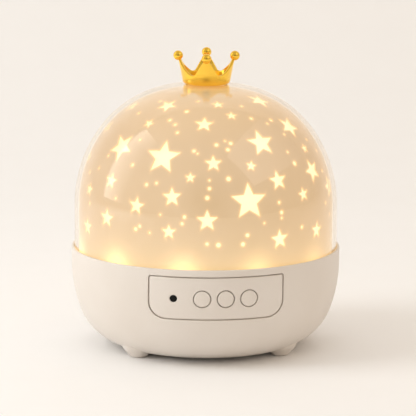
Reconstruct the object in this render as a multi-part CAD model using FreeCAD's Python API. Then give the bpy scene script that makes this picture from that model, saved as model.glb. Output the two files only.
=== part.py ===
import FreeCAD, Part
import math
import os

# A star night light: a round white base on four feet, a clear dome that lifts off, and a star
# mask that turns inside it on a motor-driven ring, lit by a centre lamp and a ring of lamps.
# Millimetres. Z is up, the front with its three buttons faces -Y, and the origin is on the
# standing surface, under the middle of the base.

V = FreeCAD.Vector
UP = V(0, 0, 1)
ORIGIN = V(0, 0, 0)

# Margins that several pieces share
cut_past = 5.0
fuse_overlap = 0.5
pass_clearance = 0.2
tolerance = 1e-6

# Base shell, turned about Z: a flat floor, a heel arc, a long side arc and a straight rim
base_radius = 62.5
rim_height = 47.2
floor_height = 1.3
shell_wall = 2.2
side_arc = 65.0
side_arc_height = 40.5
heel_arc = 25.7
rim_fillet = 0.5
rim_fillet_share = 0.9

# Clear dome: a short straight skirt, then three arcs that meet smoothly
dome_wall = 1.8
rim_lip = 1.25
shoulder_height = 66.5
shoulder_arc = 60.0
shoulder_angle = 36.7
upper_arc = 50.0
upper_angle = 80.5
dome_seat_height = 45.0
rim_clearance = 0.15
seat_gap = 0.1

# Star mask and the frosted dome under it, both following the clear dome inwards
mask_gap = 1.2
mask_wall = 0.5
layer_gap = 0.1
frosted_wall = 0.8
mask_foot_height = 44.4

# Deck that closes the base
deck_underside = 39.6
deck_thickness = 1.6
deck_clearance = 0.4
deck_post_radius = 3.5
deck_post_circle = 28.0
floor_boss_radius = 4.2
floor_boss_height = 4.8
post_gap = 0.2
deck_lead_hole = 3.0
boss_margin = 0.2

# Drive: a pinion on the motor shaft turns the toothed ring under the star mask
gear_module = 0.8
pinion_teeth = 14
tooth_reach = 0.6
tooth_root = 0.85
backlash = 0.16
pressure_angle = 20.0
gear_lift = 1.2
gear_face = 3.0
ring_gear_rim = 2.4
turntable_height = 3.5
track_width = 1.0
track_rise = 0.6
track_clearance = 0.2
turntable_lip = 1.0
rebate_gap = 0.2
pinion_inset = 0.2
track_inset = 3.1
gear_to_track = 0.65
press_clearance = 0.05
drive_after_lamp = 4.5
shaft_radius = 1.5
shaft_fit = 0.02
shaft_depth = 2.5
shaft_hole_clearance = 0.8
motor_width = 12.0
motor_depth = 10.0
motor_length = 15.0
motor_boss_radius = 2.4
motor_boss = 0.8
gearbox_length = 9.0
gearbox_low_plate = 1.2
gearbox_high_plate = 1.4
gearbox_side_inset = 1.6
gearbox_face_inset = 1.0
gearbox_shaft_clearance = 0.1
gearbox_shaft_depth = 3.0
spacer_radius = 1.0
spacer_inset = 1.2
bracket_wall = 1.5
bracket_fit = 0.1
bracket_height = 6.0
bracket_ear = 6.0
bracket_ear_half = 3.0
bracket_ear_thickness = 2.0
bracket_ear_screw = 3.2

# Lamps
lamp_count = 11
lamp_azimuth = -16.9
lamp_to_gear = 6.4
lamp_length = 3.5
lamp_width = 2.8
lamp_height = 1.8
lamp_board_width = 7.0
lamp_board_thickness = 1.2
lamp_board_notch = 8.2
post_outer_radius = 13.0
post_wall = 1.5
post_height = 17.0
post_flange_radius = 18.0
post_flange = 1.6
post_shelf = 1.2
post_shelf_bore = 4.0
main_board_gap = 0.1
main_lamp_height = 1.0
main_lamp_count = 4
main_lamp_side = 5.0
main_lamp_circle = 5.4
lens_radius = 12.0
lens_wall = 1.0
lens_rise = 6.5
lens_gap = 0.1

# Front panel: a curved fascia let into the shell, cut straight along Y
panel_centre = 0.5
panel_half_width = 30.0
panel_top = 43.6
panel_bottom = 24.4
panel_low_corner = 7.4
panel_top_corner = 0.9
panel_pocket = 1.5
panel_recess = 0.15
panel_glue = 0.05
panel_groove = 0.45
panel_reach = 40.0
window_left = -24.5
window_right = 20.5
window_bottom = 28.6
window_top = 39.6

# Buttons and what they press
button_radius = 3.75
button_hole_clearance = 0.28
button_height = 34.0
button_first = -6.3
button_pitch = 10.6
button_travel = 0.6
button_flange_radius = 4.7
button_flange = 1.0
button_flange_gap = 0.15
button_stem_radius = 2.4
button_proud = 0.1
switch_side = 6.0
switch_depth = 3.5
plunger_radius = 1.7
plunger_reach = 1.5
plunger_seat = 0.05
plunger_root = 1.0
plunger_end_gap = 0.1
switch_board_left = -30.0
switch_board_right = 26.0
switch_board_bottom = 27.0
switch_board_top = 39.0
switch_board_gap = 1.0
board_thickness = 1.6
receiver_x = -19.0
receiver_radius = 1.6
receiver_side = 6.0
receiver_depth = 4.0
receiver_eye_radius = 1.8
receiver_plug_reach = 1.0
board_screw_height = 30.6
board_screw_inset = 2.2
board_boss_radius = 2.0

# Power: a cell in its holder, a charging socket at the back, and the control board
cell_radius = 9.15
cell_length = 65.0
cell_cap_radius = 3.2
cell_cap = 1.0
holder_floor = 1.2
holder_wall = 1.4
holder_gap = 0.3
holder_height = 12.0
contact_thickness = 0.25
contact_half = 4.0
contact_rise = 5.0
socket_height = 20.0
socket_width = 8.94
socket_thickness = 3.2
socket_depth = 7.3
socket_wall = 0.35
socket_inset = 1.4
socket_fit = 0.3
socket_recess = 1.0
socket_recess_margin = 1.8
socket_back_wall = 1.2
tongue_width = 6.7
tongue_thickness = 0.7
tongue_reach = 4.6
tongue_root = 0.6
charge_board_width = 18.0
charge_board_length = 18.0
charge_board_gap = 0.4
charge_boss_radius = 2.4
charge_boss_x = 5.5
charge_boss_inset = 4.0
charge_boss_hole = 6.0
control_board_half = 26.0
control_board_gap = 2.0
control_board_depth = 20.0
control_board_underside = 24.0
control_board_post = 2.2
control_screw_inset = 3.0
chip_half_length = 5.0
chip_half_width = 4.0
chip_height = 1.6
capacitor_radius = 3.0
capacitor_height = 8.0
capacitor_x = 14.0
header_width = 4.0
header_height = 4.0
header_inset = 1.0

# Feet
foot_x = 32.7
foot_y = 26.0
foot_sole_radius = 3.1
foot_top_radius = 7.9
foot_edge = 1.4
foot_shoulder = 5.0
foot_top = 7.5
foot_stem_radius = 1.6
foot_stem_bottom = 0.8
foot_stem_top = 8.0

# Crown: a flared band with four points, each with a ball, held by a peg through the dome
crown_radius = 10.8
crown_flare = 0.19
crown_wall = 1.3
crown_floor = 2.0
crown_foot_arc = 2.1
crown_seat = 0.5
crown_valley = 5.0
crown_tip = 11.8
crown_tip_half = 1.3
crown_valley_angle = 33.0
crown_valley_arc = 1.8
crown_turn = -4.6
ball_radius = 2.25
ball_circle = 13.1
ball_height = 13.2
peg_radius = 1.5
peg_clearance = 0.1
peg_end = 0.1
washer_radius = 4.2
washer_fit = 0.02
washer_gap = 0.12
washer_thickness = 0.45

# Screws
screw_radius = 1.2
screw_fit = 0.05
screw_sunk = 1.6
screw_end_gap = 0.4
head_clearance = 0.4
slot_length = 0.62
slot_width = 0.22
slot_depth = 0.5
deck_screw_length = 3.2
screw_head_radius = 2.3
screw_head = 1.4
case_screw_length = 13.0
small_screw_radius = 0.9
small_head_radius = 1.7
small_head = 1.1
small_screw_length = 5.0

# Leads, by the points where each one bends
lead_radius = 0.8
lead_bend = 2.2
lead_gap = 0.05
lead_socket_half = 7.0
cell_lead = ((33.65, -2.0, 16.4), (33.65, -2.0, 22.0), (33.65, -14.0, 22.0), (5.4, -14.0, 22.0))
motor_lead = (
    (34.1, 25.7, 15.55), (34.1, 25.7, 10.5), (38.4, 17.5, 10.5), (38.4, -14.0, 10.5),
    (-2.6, -14.0, 16.0), (-2.6, -21.5, 22.0),
)
lamp_lead = ((0.0, 0.0, 56.95), (0.0, 0.0, 26.5), (0.0, -18.0, 26.5), (0.0, -22.5, 22.0))
charge_lead = (
    (2.6, 42.0, 19.3), (2.6, 30.0, 19.3), (2.6, 24.0, 26.5), (2.6, -18.0, 26.5), (2.6, -22.5, 22.0),
)

# Star windows on the part of the mask that shows from the front: azimuth from the front in
# degrees, drop of the centre below the top of the dome, tip radius, and turn of the top tip
front_stars = (
    (-27, 27.5, 7.9, 0), (-55, 25.5, 6.6, 30), (-54, 40.0, 3.4, 5), (-37, 49.0, 3.8, 5),
    (-20, 44.0, 4.1, -4), (-12, 35.5, 2.1, 0), (-21, 59.5, 3.1, 0), (-54, 56.5, 4.0, 4),
    (-70, 63.0, 3.8, 0), (-70, 46.0, 2.6, 6), (-40, 8.0, 4.2, 20), (-44, 15.0, 2.2, 15),
    (-6, 14.0, 4.0, 3), (-78, 10.5, 3.0, 40), (-82, 20.0, 3.2, 30), (-84, 33.5, 2.8, 10),
    (-1, 29.5, 3.6, 0), (15, 46.0, 8.2, 0), (27, 22.0, 6.4, -4), (31, 38.0, 4.3, -3),
    (30, 64.0, 4.3, -3), (18, 31.0, 2.2, 14), (14, 11.0, 2.2, 10), (6, 7.0, 2.4, 0),
    (53, 7.0, 5.0, -25), (55, 17.5, 5.4, -32), (57, 27.0, 2.0, 0), (56, 36.5, 5.2, -16),
    (45, 45.5, 2.9, -6), (54, 63.0, 3.7, 4), (70, 45.5, 4.6, -12), (-4, 54.0, 4.6, 0),
)

# Round windows in the same terms: azimuth, drop and radius
front_dots = (
    (-33, 39.5, 0.8), (-28, 38.5, 0.6), (-11, 24.5, 0.8), (-14, 52.5, 0.8), (-15, 55.5, 0.7),
    (-37, 59.5, 0.9), (-35, 58.0, 0.7), (-43, 32.0, 0.8), (-4, 44.0, 1.0), (-3, 40.0, 0.8),
    (-25, 14.5, 0.7), (-22, 17.5, 0.7), (-30, 13.0, 0.8), (-20, 9.5, 1.0), (-4, 64.5, 0.7),
    (1, 65.0, 1.1), (1, 22.0, 0.9), (9, 21.5, 0.9), (7, 24.0, 0.9), (6, 36.0, 1.1),
    (44, 32.0, 1.1), (43, 14.0, 0.8), (28, 12.5, 0.8), (30, 47.5, 0.7), (31, 52.0, 0.9),
    (43, 60.0, 0.8), (14, 61.0, 0.9), (12, 65.0, 1.0),
)

# Star windows on the sides and back: rows of drop and tip radii that take turns round the dome
row_drops = (66.0, 50.0, 34.0, 19.0)
row_radii = ((4.4, 3.2, 5.0), (6.6, 2.6, 4.2), (4.0, 5.6, 2.4), (3.4, 4.6))
row_step = 27.0
row_stagger = 11.0
row_shift = 2.5
row_turn = 9.0
row_from = 96.0
row_to = 274.0
star_waist = 0.45


def at(azimuth, radius, height=0.0):
    """A point at an azimuth from the front, in degrees, positive towards +X."""
    a = math.radians(azimuth)
    return V(radius * math.sin(a), -radius * math.cos(a), height)


def turned(edges):
    """The solid swept by a closed outline in the XZ plane, turned about Z."""
    face = Part.Face(Part.Wire(Part.__sortEdges__(edges)))
    return face.revolve(ORIGIN, UP, 360)


def line(a, b):
    return Part.LineSegment(a, b).toShape()


def arc(centre, radius, start, end):
    """An arc in the XZ plane, between two angles in radians."""
    def spot(angle):
        return V(centre[0] + radius * math.cos(angle), 0, centre[1] + radius * math.sin(angle))

    return Part.Arc(spot(start), spot((start + end) / 2), spot(end)).toShape()


def outline(points):
    """Straight edges through points given as (radius, height), closed."""
    spots = [V(r, 0, z) for r, z in points]
    return [line(a, b) for a, b in zip(spots, spots[1:] + spots[:1])]


def ring(inner, outer, low, high):
    """A plain ring about Z, or a disc where inner is 0."""
    return turned(outline([(inner, low), (outer, low), (outer, high), (inner, high)]))


def pillar(radius, start, end):
    """A cylinder from one point to another."""
    return Part.makeCylinder(radius, (end - start).Length, start, end - start)


def block(x0, x1, y0, y1, z0, z1):
    return Part.makeBox(x1 - x0, y1 - y0, z1 - z0, V(x0, y0, z0))


def moved(shape, spot, azimuth=0.0):
    """A copy turned about Z by an azimuth and put at a spot."""
    copy = shape.copy()
    copy.rotate(ORIGIN, UP, azimuth)
    copy.translate(spot)
    return copy


def fused(shapes):
    whole = shapes[0]
    return whole.multiFuse(shapes[1:]).removeSplitter() if len(shapes) > 1 else whole


def save(name, *shapes):
    """Writes one named piece, made of one or more solids."""
    solids = [s for shape in shapes for s in shape.Solids]
    whole = solids[0] if len(solids) == 1 else Part.makeCompound(solids)
    whole.exportStep(f"parts/{name}.step")


# Curves of the base shell at an inward offset

dome_radius = base_radius - rim_lip - rim_clearance
front_past = base_radius + cut_past
side_centre = (base_radius - side_arc, side_arc_height)
heel_rise = side_arc_height - floor_height - heel_arc
heel_angle = -math.asin(heel_rise / (side_arc - heel_arc))
heel_centre = (
    side_centre[0] + (side_arc - heel_arc) * math.cos(heel_angle),
    floor_height + heel_arc,
)


def base_curve(offset, top):
    """Edges of the base outline from the axis out along the floor and up to a height."""
    low = V(0, 0, floor_height + offset)
    heel = V(heel_centre[0], 0, floor_height + offset)
    side = V(base_radius - offset, 0, side_arc_height)
    return [
        line(low, heel),
        arc(heel_centre, heel_arc - offset, -math.pi / 2, heel_angle),
        arc(side_centre, side_arc - offset, heel_angle, 0),
        line(side, V(base_radius - offset, 0, top)),
    ]


def base_body(offset, top):
    """The full body inside the base outline at an offset, up to a height."""
    close = [
        line(V(base_radius - offset, 0, top), V(0, 0, top)),
        line(V(0, 0, top), V(0, 0, floor_height + offset)),
    ]
    return turned(base_curve(offset, top) + close)


def base_spot(offset, height):
    """Radius of the base outline at an inward offset, on its side arc."""
    return side_centre[0] + math.sqrt((side_arc - offset) ** 2 - (side_arc_height - height) ** 2)


# Curves of the dome at an inward offset

first = math.radians(shoulder_angle)
second = math.radians(upper_angle)
shoulder_centre = (dome_radius - shoulder_arc, shoulder_height)
upper_centre = (
    shoulder_centre[0] + (shoulder_arc - upper_arc) * math.cos(first),
    shoulder_height + (shoulder_arc - upper_arc) * math.sin(first),
)
crown_arc = upper_arc + upper_centre[0] / math.cos(second)
top_centre = (0.0, upper_centre[1] - (crown_arc - upper_arc) * math.sin(second))
dome_top = top_centre[1] + crown_arc


def dome_curve(offset, foot):
    """Edges of the dome outline from its foot up to the axis."""
    return [
        line(V(dome_radius - offset, 0, foot), V(dome_radius - offset, 0, shoulder_height)),
        arc(shoulder_centre, shoulder_arc - offset, 0, first),
        arc(upper_centre, upper_arc - offset, first, second),
        arc(top_centre, crown_arc - offset, second, math.pi / 2),
    ]


def dome_layer(outside, wall, foot):
    """A closed dome shell between two offsets."""
    inside = outside + wall
    close = [
        line(V(dome_radius - inside, 0, foot), V(dome_radius - outside, 0, foot)),
        line(V(0, 0, dome_top - inside), V(0, 0, dome_top - outside)),
    ]
    return turned(dome_curve(outside, foot) + dome_curve(inside, foot) + close)


def dome_spot(offset, height):
    """Radius and outward slope, from level, of the dome outline at a height."""
    def on(centre, radius):
        lean = math.asin(min(1.0, (height - centre[1]) / radius))
        return centre[0] + radius * math.cos(lean), lean

    if height <= shoulder_height:
        return dome_radius - offset, 0.0
    if height <= shoulder_centre[1] + (shoulder_arc - offset) * math.sin(first):
        return on(shoulder_centre, shoulder_arc - offset)
    if height <= upper_centre[1] + (upper_arc - offset) * math.sin(second):
        return on(upper_centre, upper_arc - offset)
    return on(top_centre, crown_arc - offset)


# Heights and offsets that several pieces share

mask_offset = dome_wall + mask_gap
frosted_offset = mask_offset + mask_wall + layer_gap
deck_top = deck_underside + deck_thickness
gear_bottom = deck_top + gear_lift
crown_bottom = dome_top - crown_seat
track_radius = dome_radius - mask_offset - track_inset
ring_gear_outer = track_radius - track_width / 2 - track_clearance - gear_to_track
ring_teeth = 2 * round((ring_gear_outer - ring_gear_rim - tooth_root) / gear_module)
ring_pitch = gear_module * ring_teeth / 2
lamp_circle = ring_pitch - lamp_to_gear
lamp_step = 360 / lamp_count
drive_azimuth = lamp_azimuth + drive_after_lamp * lamp_step
pinion_pitch = gear_module * pinion_teeth / 2
drive_circle = ring_pitch - pinion_pitch
post_azimuths = (45, 135, 225, 315)
button_places = [button_first + button_pitch * i for i in range(3)]
board_wall = base_spot(shell_wall, switch_board_bottom)
board_face = math.sqrt(board_wall**2 - switch_board_left**2) - switch_board_gap
board_rear = board_face - board_thickness
switch_face = board_face + switch_depth
button_back = switch_face + plunger_reach
control_board_front = control_board_gap - board_rear
control_board_back = control_board_front + control_board_depth
header_back = control_board_back - header_inset
board_screws = (switch_board_left + board_screw_inset, switch_board_right - board_screw_inset)
holder_low = floor_height + shell_wall
cell_height = holder_low + holder_floor + cell_radius
charge_top = socket_height - socket_thickness / 2
shell_at_socket = base_spot(0, socket_height)
socket_front = shell_at_socket - socket_inset
charge_wall = base_spot(shell_wall, charge_top - board_thickness)
charge_front = math.sqrt(charge_wall**2 - (charge_board_width / 2) ** 2) - charge_board_gap
charge_back = charge_front - charge_board_length
charge_bosses = [(x, charge_back + charge_boss_inset) for x in (-charge_boss_x, charge_boss_x)]
led_face = deck_top + post_height
motor_top = deck_underside


def foot_spots():
    return [V(x, y, 0) for x in (-foot_x, foot_x) for y in (-foot_y, foot_y)]


# Base shell

def panel_outline(grow, depth_from, depth_to):
    """The fascia's outline in the XZ plane, grown by a margin and run along Y."""
    half = panel_half_width + grow
    low = panel_bottom - grow
    high = panel_top + grow
    r = panel_low_corner + grow
    q = panel_top_corner + grow
    y = -depth_from

    def corner(cx, cz, radius, start):
        spots = [
            V(cx + radius * math.cos(start + t), y, cz + radius * math.sin(start + t))
            for t in (0, math.pi / 4, math.pi / 2)
        ]
        return Part.Arc(*spots).toShape()

    edges = [
        corner(half - r, low + r, r, -math.pi / 2),
        line(V(half, y, low + r), V(half, y, high - q)),
        corner(half - q, high - q, q, 0),
        line(V(half - q, y, high), V(q - half, y, high)),
        corner(q - half, high - q, q, math.pi / 2),
        line(V(-half, y, high - q), V(-half, y, low + r)),
        corner(r - half, low + r, r, math.pi),
        line(V(r - half, y, low), V(half - r, y, low)),
    ]
    face = Part.Face(Part.Wire(edges)).translated(V(panel_centre, 0, 0))
    return face.extrude(V(0, depth_from - depth_to, 0))


def socket_slot(grow, y0, y1):
    """A rounded slot along Y at the back, as wide and thick as the socket plus a margin."""
    half = socket_width / 2 + grow
    r = socket_thickness / 2 + grow
    middle = block(r - half, half - r, y0, y1, socket_height - r, socket_height + r)
    ends = [
        pillar(r, V(x, y0, socket_height), V(x, y1, socket_height)) for x in (r - half, half - r)
    ]
    return fused([middle] + ends)


def make_base_shell():
    seat = dome_radius + rim_clearance
    lip = (base_radius - seat) / 2
    shell = base_body(0, rim_height).cut(base_body(shell_wall, rim_height + cut_past))
    inner = base_radius - shell_wall - cut_past
    shell = shell.cut(ring(inner, seat, dome_seat_height, rim_height + cut_past))
    level = [e for e in shell.Edges if e.BoundBox.ZLength < tolerance]
    rim = [e for e in level if abs(e.BoundBox.ZMin - rim_height) < tolerance]
    shell = shell.makeFillet(min(rim_fillet, lip * rim_fillet_share), rim)
    pocket = panel_outline(panel_groove, front_past, panel_reach)
    shell = shell.cut(pocket.cut(base_body(panel_pocket, rim_height + cut_past)))
    shell = shell.cut(
        block(window_left, window_right, -base_radius, -panel_reach, window_bottom, window_top)
    )
    added = []
    for azimuth in post_azimuths:
        spot = at(azimuth, deck_post_circle, floor_height + shell_wall / 2)
        added.append(pillar(floor_boss_radius, spot, spot + V(0, 0, floor_boss_height + shell_wall / 2)))
    for x in board_screws:
        front = V(x, -base_radius, board_screw_height)
        added.append(pillar(board_boss_radius, front, V(x, -board_face, board_screw_height)))
    for x, y in charge_bosses:
        low = V(x, y, floor_height + shell_wall / 2)
        added.append(pillar(charge_boss_radius, low, V(x, y, charge_top - board_thickness)))
    keep = base_body(panel_pocket + boss_margin, rim_height)
    shell = fused([shell] + [a.common(keep) for a in added])
    holes = base_screw_holes()
    for spot in foot_spots():
        holes.append(pillar(foot_stem_radius + peg_clearance, spot, spot + UP * (foot_stem_top + cut_past)))
    holes.append(socket_slot(socket_fit, socket_front - socket_depth, front_past))
    holes.append(socket_slot(socket_recess_margin, shell_at_socket - socket_recess, front_past))
    return shell.cut(Part.makeCompound(holes))


def base_screw_holes():
    """Holes in the floor for the case screws, and in the bosses for the board screws."""
    holes = []
    screw_reach = small_screw_length - board_thickness + screw_end_gap
    for azimuth in post_azimuths:
        low = at(azimuth, deck_post_circle)
        counter = low + UP * (floor_height + screw_head + screw_sunk)
        holes.append(pillar(screw_head_radius + head_clearance, low, counter))
        holes.append(pillar(screw_radius + pass_clearance, low, low + UP * case_screw_length))
    for x in board_screws:
        seat = V(x, -board_face, board_screw_height)
        holes.append(pillar(small_screw_radius + screw_fit, seat, seat - V(0, screw_reach, 0)))
    for x, y in charge_bosses:
        top = V(x, y, charge_top - board_thickness)
        holes.append(pillar(small_screw_radius + screw_fit, top - UP * charge_boss_hole, top))
    return holes


def make_foot(spot):
    """A tapered stub whose top follows the underside of the shell, with a stem."""
    edge = V(foot_sole_radius + foot_edge, 0, foot_edge)
    edges = [
        line(ORIGIN, V(foot_sole_radius, 0, 0)),
        arc((foot_sole_radius, foot_edge), foot_edge, -math.pi / 2, 0),
        line(edge, V(foot_top_radius, 0, foot_shoulder)),
        line(V(foot_top_radius, 0, foot_shoulder), V(foot_top_radius, 0, foot_top)),
        line(V(foot_top_radius, 0, foot_top), V(0, 0, foot_top)),
        line(V(0, 0, foot_top), ORIGIN),
    ]
    stub = moved(turned(edges), spot).cut(base_body(-press_clearance, rim_height))
    stem = pillar(foot_stem_radius, spot + UP * foot_stem_bottom, spot + UP * foot_stem_top)
    return fused([max(stub.Solids, key=lambda s: s.Volume), stem])


# Control panel, buttons and the parts behind them

def front_pillar(radius, x):
    """A cylinder along Y through the whole front wall, at the height of the buttons."""
    return pillar(radius, V(x, -front_past, button_height), V(x, -panel_reach, button_height))


def make_control_panel():
    panel = panel_outline(0, front_past, panel_reach).common(base_body(panel_recess, rim_height))
    panel = panel.cut(base_body(panel_pocket - panel_glue, rim_height + cut_past))
    holes = [front_pillar(button_radius + button_hole_clearance, x) for x in button_places]
    holes.append(front_pillar(receiver_radius + screw_fit, receiver_x))
    return max(panel.cut(Part.makeCompound(holes)).Solids, key=lambda s: s.Volume)


def make_button(x):
    """A round cap whose face follows the shell, a flange behind the panel, and a stem."""
    reach = base_spot(panel_pocket, button_height - button_flange_radius)
    side = abs(x) + button_flange_radius
    seat = V(x, -math.sqrt(reach**2 - side**2) + button_flange_gap, button_height)
    cap = pillar(button_radius, V(x, -front_past, button_height), seat)
    cap = cap.common(base_body(panel_recess - button_proud, rim_height))
    flange = pillar(button_flange_radius, seat, seat + V(0, button_flange, 0))
    stem = pillar(button_stem_radius, seat, V(x, -button_back, button_height))
    return fused([cap, flange, stem])


def make_plunger(x):
    start = V(x, -button_back + plunger_seat, button_height)
    return pillar(plunger_radius, start, start + V(0, plunger_reach + plunger_root, 0))


def make_switch(x):
    half = switch_side / 2
    low, high = button_height - half, button_height + half
    body = block(x - half, x + half, -switch_face, -board_face, low, high)
    depth = plunger_root + plunger_seat + button_travel + plunger_end_gap
    mouth = V(x, -switch_face - cut_past, button_height)
    return body.cut(pillar(plunger_radius + peg_clearance, mouth, mouth + V(0, cut_past + depth, 0)))


def make_receiver():
    half = receiver_side / 2
    face = -board_face - receiver_depth
    low, high = button_height - half, button_height + half
    body = block(receiver_x - half, receiver_x + half, face, -board_face, low, high)
    return fused([body, Part.makeSphere(receiver_eye_radius, V(receiver_x, face, button_height))])


def make_receiver_window():
    plug = front_pillar(receiver_radius, receiver_x).common(base_body(panel_recess, rim_height))
    return plug.cut(base_body(panel_pocket + receiver_plug_reach, rim_height + cut_past))


def make_switch_board():
    left, right = switch_board_left, switch_board_right
    board = block(left, right, -board_face, -board_rear, switch_board_bottom, switch_board_top)
    for x in board_screws:
        front = V(x, -board_face - cut_past, board_screw_height)
        back = V(x, -board_rear + cut_past, board_screw_height)
        board = board.cut(pillar(small_screw_radius + pass_clearance, front, back))
    return board


# Deck, drive and turntable

def drive_spot(height):
    return at(drive_azimuth, drive_circle, height)


bracket_ear_x = motor_width / 2 + bracket_wall + bracket_ear_screw
bracket_ears = (-bracket_ear_x, bracket_ear_x)
control_screw_x = control_board_half - control_screw_inset
control_screws = [
    (x, y)
    for x in (-control_screw_x, control_screw_x)
    for y in (control_board_front + control_screw_inset, control_board_back - control_screw_inset)
]
control_top = control_board_underside + board_thickness
post_foot = floor_height + shell_wall + floor_boss_height + post_gap


def ear_spot(x, height):
    """The place of a bracket screw, by its distance along the bracket from the shaft."""
    return moved(Part.Vertex(x, 0, height), drive_spot(0), drive_azimuth).Point


def make_top_deck():
    plate = ring(0, base_radius - shell_wall - deck_clearance, deck_underside, deck_top)
    half = track_width / 2
    track_top = gear_bottom + track_clearance + track_rise
    added = [ring(track_radius - half, track_radius + half, deck_top - fuse_overlap, track_top)]
    for azimuth in post_azimuths:
        foot = at(azimuth, deck_post_circle, post_foot)
        added.append(pillar(deck_post_radius, foot, at(azimuth, deck_post_circle, deck_top - fuse_overlap)))
    for x, y in control_screws:
        added.append(pillar(control_board_post, V(x, y, control_top), V(x, y, deck_top - fuse_overlap)))
    return fused([plate] + added).cut(Part.makeCompound(deck_holes()))


def deck_holes():
    """Holes for the shaft and the lamp lead, and for every screw that goes into the deck."""
    through = UP * (deck_thickness + 2 * cut_past)
    below = deck_underside - cut_past
    holes = [pillar(shaft_radius + shaft_hole_clearance, drive_spot(below), drive_spot(below) + through)]
    holes.append(pillar(deck_lead_hole, V(0, 0, below), V(0, 0, below) + through))
    for azimuth in post_azimuths:
        foot = at(azimuth, deck_post_circle, post_foot)
        holes.append(pillar(screw_radius + screw_fit, foot, foot + UP * case_screw_length))
    for x, y in control_screws:
        foot = V(x, y, control_top)
        holes.append(pillar(small_screw_radius + screw_fit, foot, foot + UP * small_screw_length))
    spots = [ear_spot(x, below) for x in bracket_ears]
    spots += [at(azimuth, lamp_post_screw_circle, below) for azimuth in lamp_post_screws]
    for spot in spots:
        holes.append(pillar(small_screw_radius + screw_fit, spot, spot + through))
    return holes


def toothed(teeth, tip, root, slack):
    """A closed gear outline with involute flanks and a tooth centred on +X."""
    pitch = gear_module * teeth / 2
    base = pitch * math.cos(math.radians(pressure_angle))

    def involute(radius):
        a = math.acos(min(1.0, base / radius))
        return math.tan(a) - a

    def half_angle(radius):
        even = math.pi / (2 * teeth) + slack / (2 * pitch)
        return even + involute(pitch) - involute(max(radius, base))

    radii = (root, pitch, tip)
    spots = []
    for n in range(teeth):
        middle = 2 * math.pi * n / teeth
        for side, order in ((-1, radii), (1, radii[::-1])):
            for radius in order:
                a = middle + side * half_angle(radius)
                spots.append(V(radius * math.cos(a), radius * math.sin(a), 0))
    return Part.makePolygon(spots + spots[:1])


def make_ring_gear():
    """The toothed ring: its gaps are the teeth of an outside gear of the same size."""
    inner = toothed(ring_teeth, ring_pitch + tooth_root, ring_pitch - tooth_reach, backlash)
    outer = Part.Wire(Part.makeCircle(ring_gear_outer))
    face = Part.Face([outer, inner])
    body = face.extrude(V(0, 0, gear_face))
    return moved(body, V(0, 0, gear_bottom), drive_azimuth - 90)


def make_pinion():
    teeth = toothed(pinion_teeth, pinion_pitch + tooth_reach, pinion_pitch - tooth_root, -backlash)
    body = Part.Face(teeth).extrude(V(0, 0, gear_face - 2 * pinion_inset))
    body = moved(body, drive_spot(gear_bottom + pinion_inset), drive_azimuth - 90)
    return body.cut(pillar(shaft_radius, drive_spot(gear_bottom), drive_spot(gear_bottom + gear_face)))


def make_motor_shaft():
    low = drive_spot(motor_top - shaft_depth)
    return pillar(shaft_radius - shaft_fit, low, drive_spot(gear_bottom + gear_face))


def make_turntable():
    """A plain ring round the toothed ring, with a groove below that rides on the track."""
    inner = ring_gear_outer + press_clearance
    outer = dome_radius - mask_offset
    top = gear_bottom + turntable_height
    body = ring(inner, outer, gear_bottom, top)
    half = track_width / 2 + track_clearance
    groove_top = gear_bottom + track_rise + 2 * track_clearance
    groove = ring(track_radius - half, track_radius + half, gear_bottom - cut_past, groove_top)
    rebate_inner = dome_radius - frosted_offset - frosted_wall - rebate_gap
    rebate = ring(rebate_inner, outer + cut_past, mask_foot_height, top + cut_past)
    lip_low = gear_bottom + gear_face + press_clearance
    lip = ring(ring_gear_outer - turntable_lip, inner + fuse_overlap, lip_low, top)
    return fused([body.cut(groove).cut(rebate), lip])


def make_motor():
    """The can of a small gear motor: a round can with two flats."""
    low = motor_top - gearbox_length - motor_length
    can = pillar(motor_width / 2, V(0, 0, low), V(0, 0, low + motor_length))
    flat = motor_depth / 2
    can = can.common(block(-motor_width, motor_width, -flat, flat, low, low + motor_length))
    boss = pillar(motor_boss_radius, V(0, 0, low - motor_boss), V(0, 0, low))
    return moved(fused([can, boss]), drive_spot(0), drive_azimuth)


def make_gearbox():
    """Two plates with spacers, the gears between them left as one block."""
    low = motor_top - gearbox_length
    half_w, half_d = motor_width / 2, motor_depth / 2
    inner_w, inner_d = half_w - gearbox_side_inset, half_d - gearbox_face_inset
    plates = [
        block(-half_w, half_w, -half_d, half_d, low, low + gearbox_low_plate),
        block(-half_w, half_w, -half_d, half_d, motor_top - gearbox_high_plate, motor_top),
        block(-inner_w, inner_w, -inner_d, inner_d, low, motor_top),
    ]
    for x in (spacer_inset - half_w, half_w - spacer_inset):
        for y in (spacer_inset - half_d, half_d - spacer_inset):
            plates.append(pillar(spacer_radius, V(x, y, low), V(x, y, motor_top)))
    bore_low = V(0, 0, motor_top - gearbox_shaft_depth)
    bore = pillar(shaft_radius + gearbox_shaft_clearance, bore_low, V(0, 0, motor_top + cut_past))
    return moved(fused(plates).cut(bore), drive_spot(0), drive_azimuth)


def make_motor_bracket():
    """A strap round the gearbox with two ears against the deck."""
    half_w, half_d = motor_width / 2 + bracket_fit, motor_depth / 2 + bracket_fit
    wide, deep = half_w + bracket_wall, half_d + bracket_wall
    low, high = deck_underside - bracket_height, deck_underside
    outside = block(-wide, wide, -deep, deep, low, high)
    inside = block(-half_w, half_w, -half_d, half_d, low - cut_past, high + cut_past)
    span, half = wide + bracket_ear, bracket_ear_half
    ears = block(-span, span, -half, half, high - bracket_ear_thickness, high)
    body = fused([outside, ears]).cut(inside)
    for x in bracket_ears:
        hole = pillar(small_screw_radius + pass_clearance, V(x, 0, low), V(x, 0, high + cut_past))
        body = body.cut(hole)
    return moved(body, drive_spot(0), drive_azimuth)


# Lamps

lamp_post_screws = (30, 150, 270)
lamp_post_screw_circle = (post_outer_radius + post_flange_radius) / 2


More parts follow.
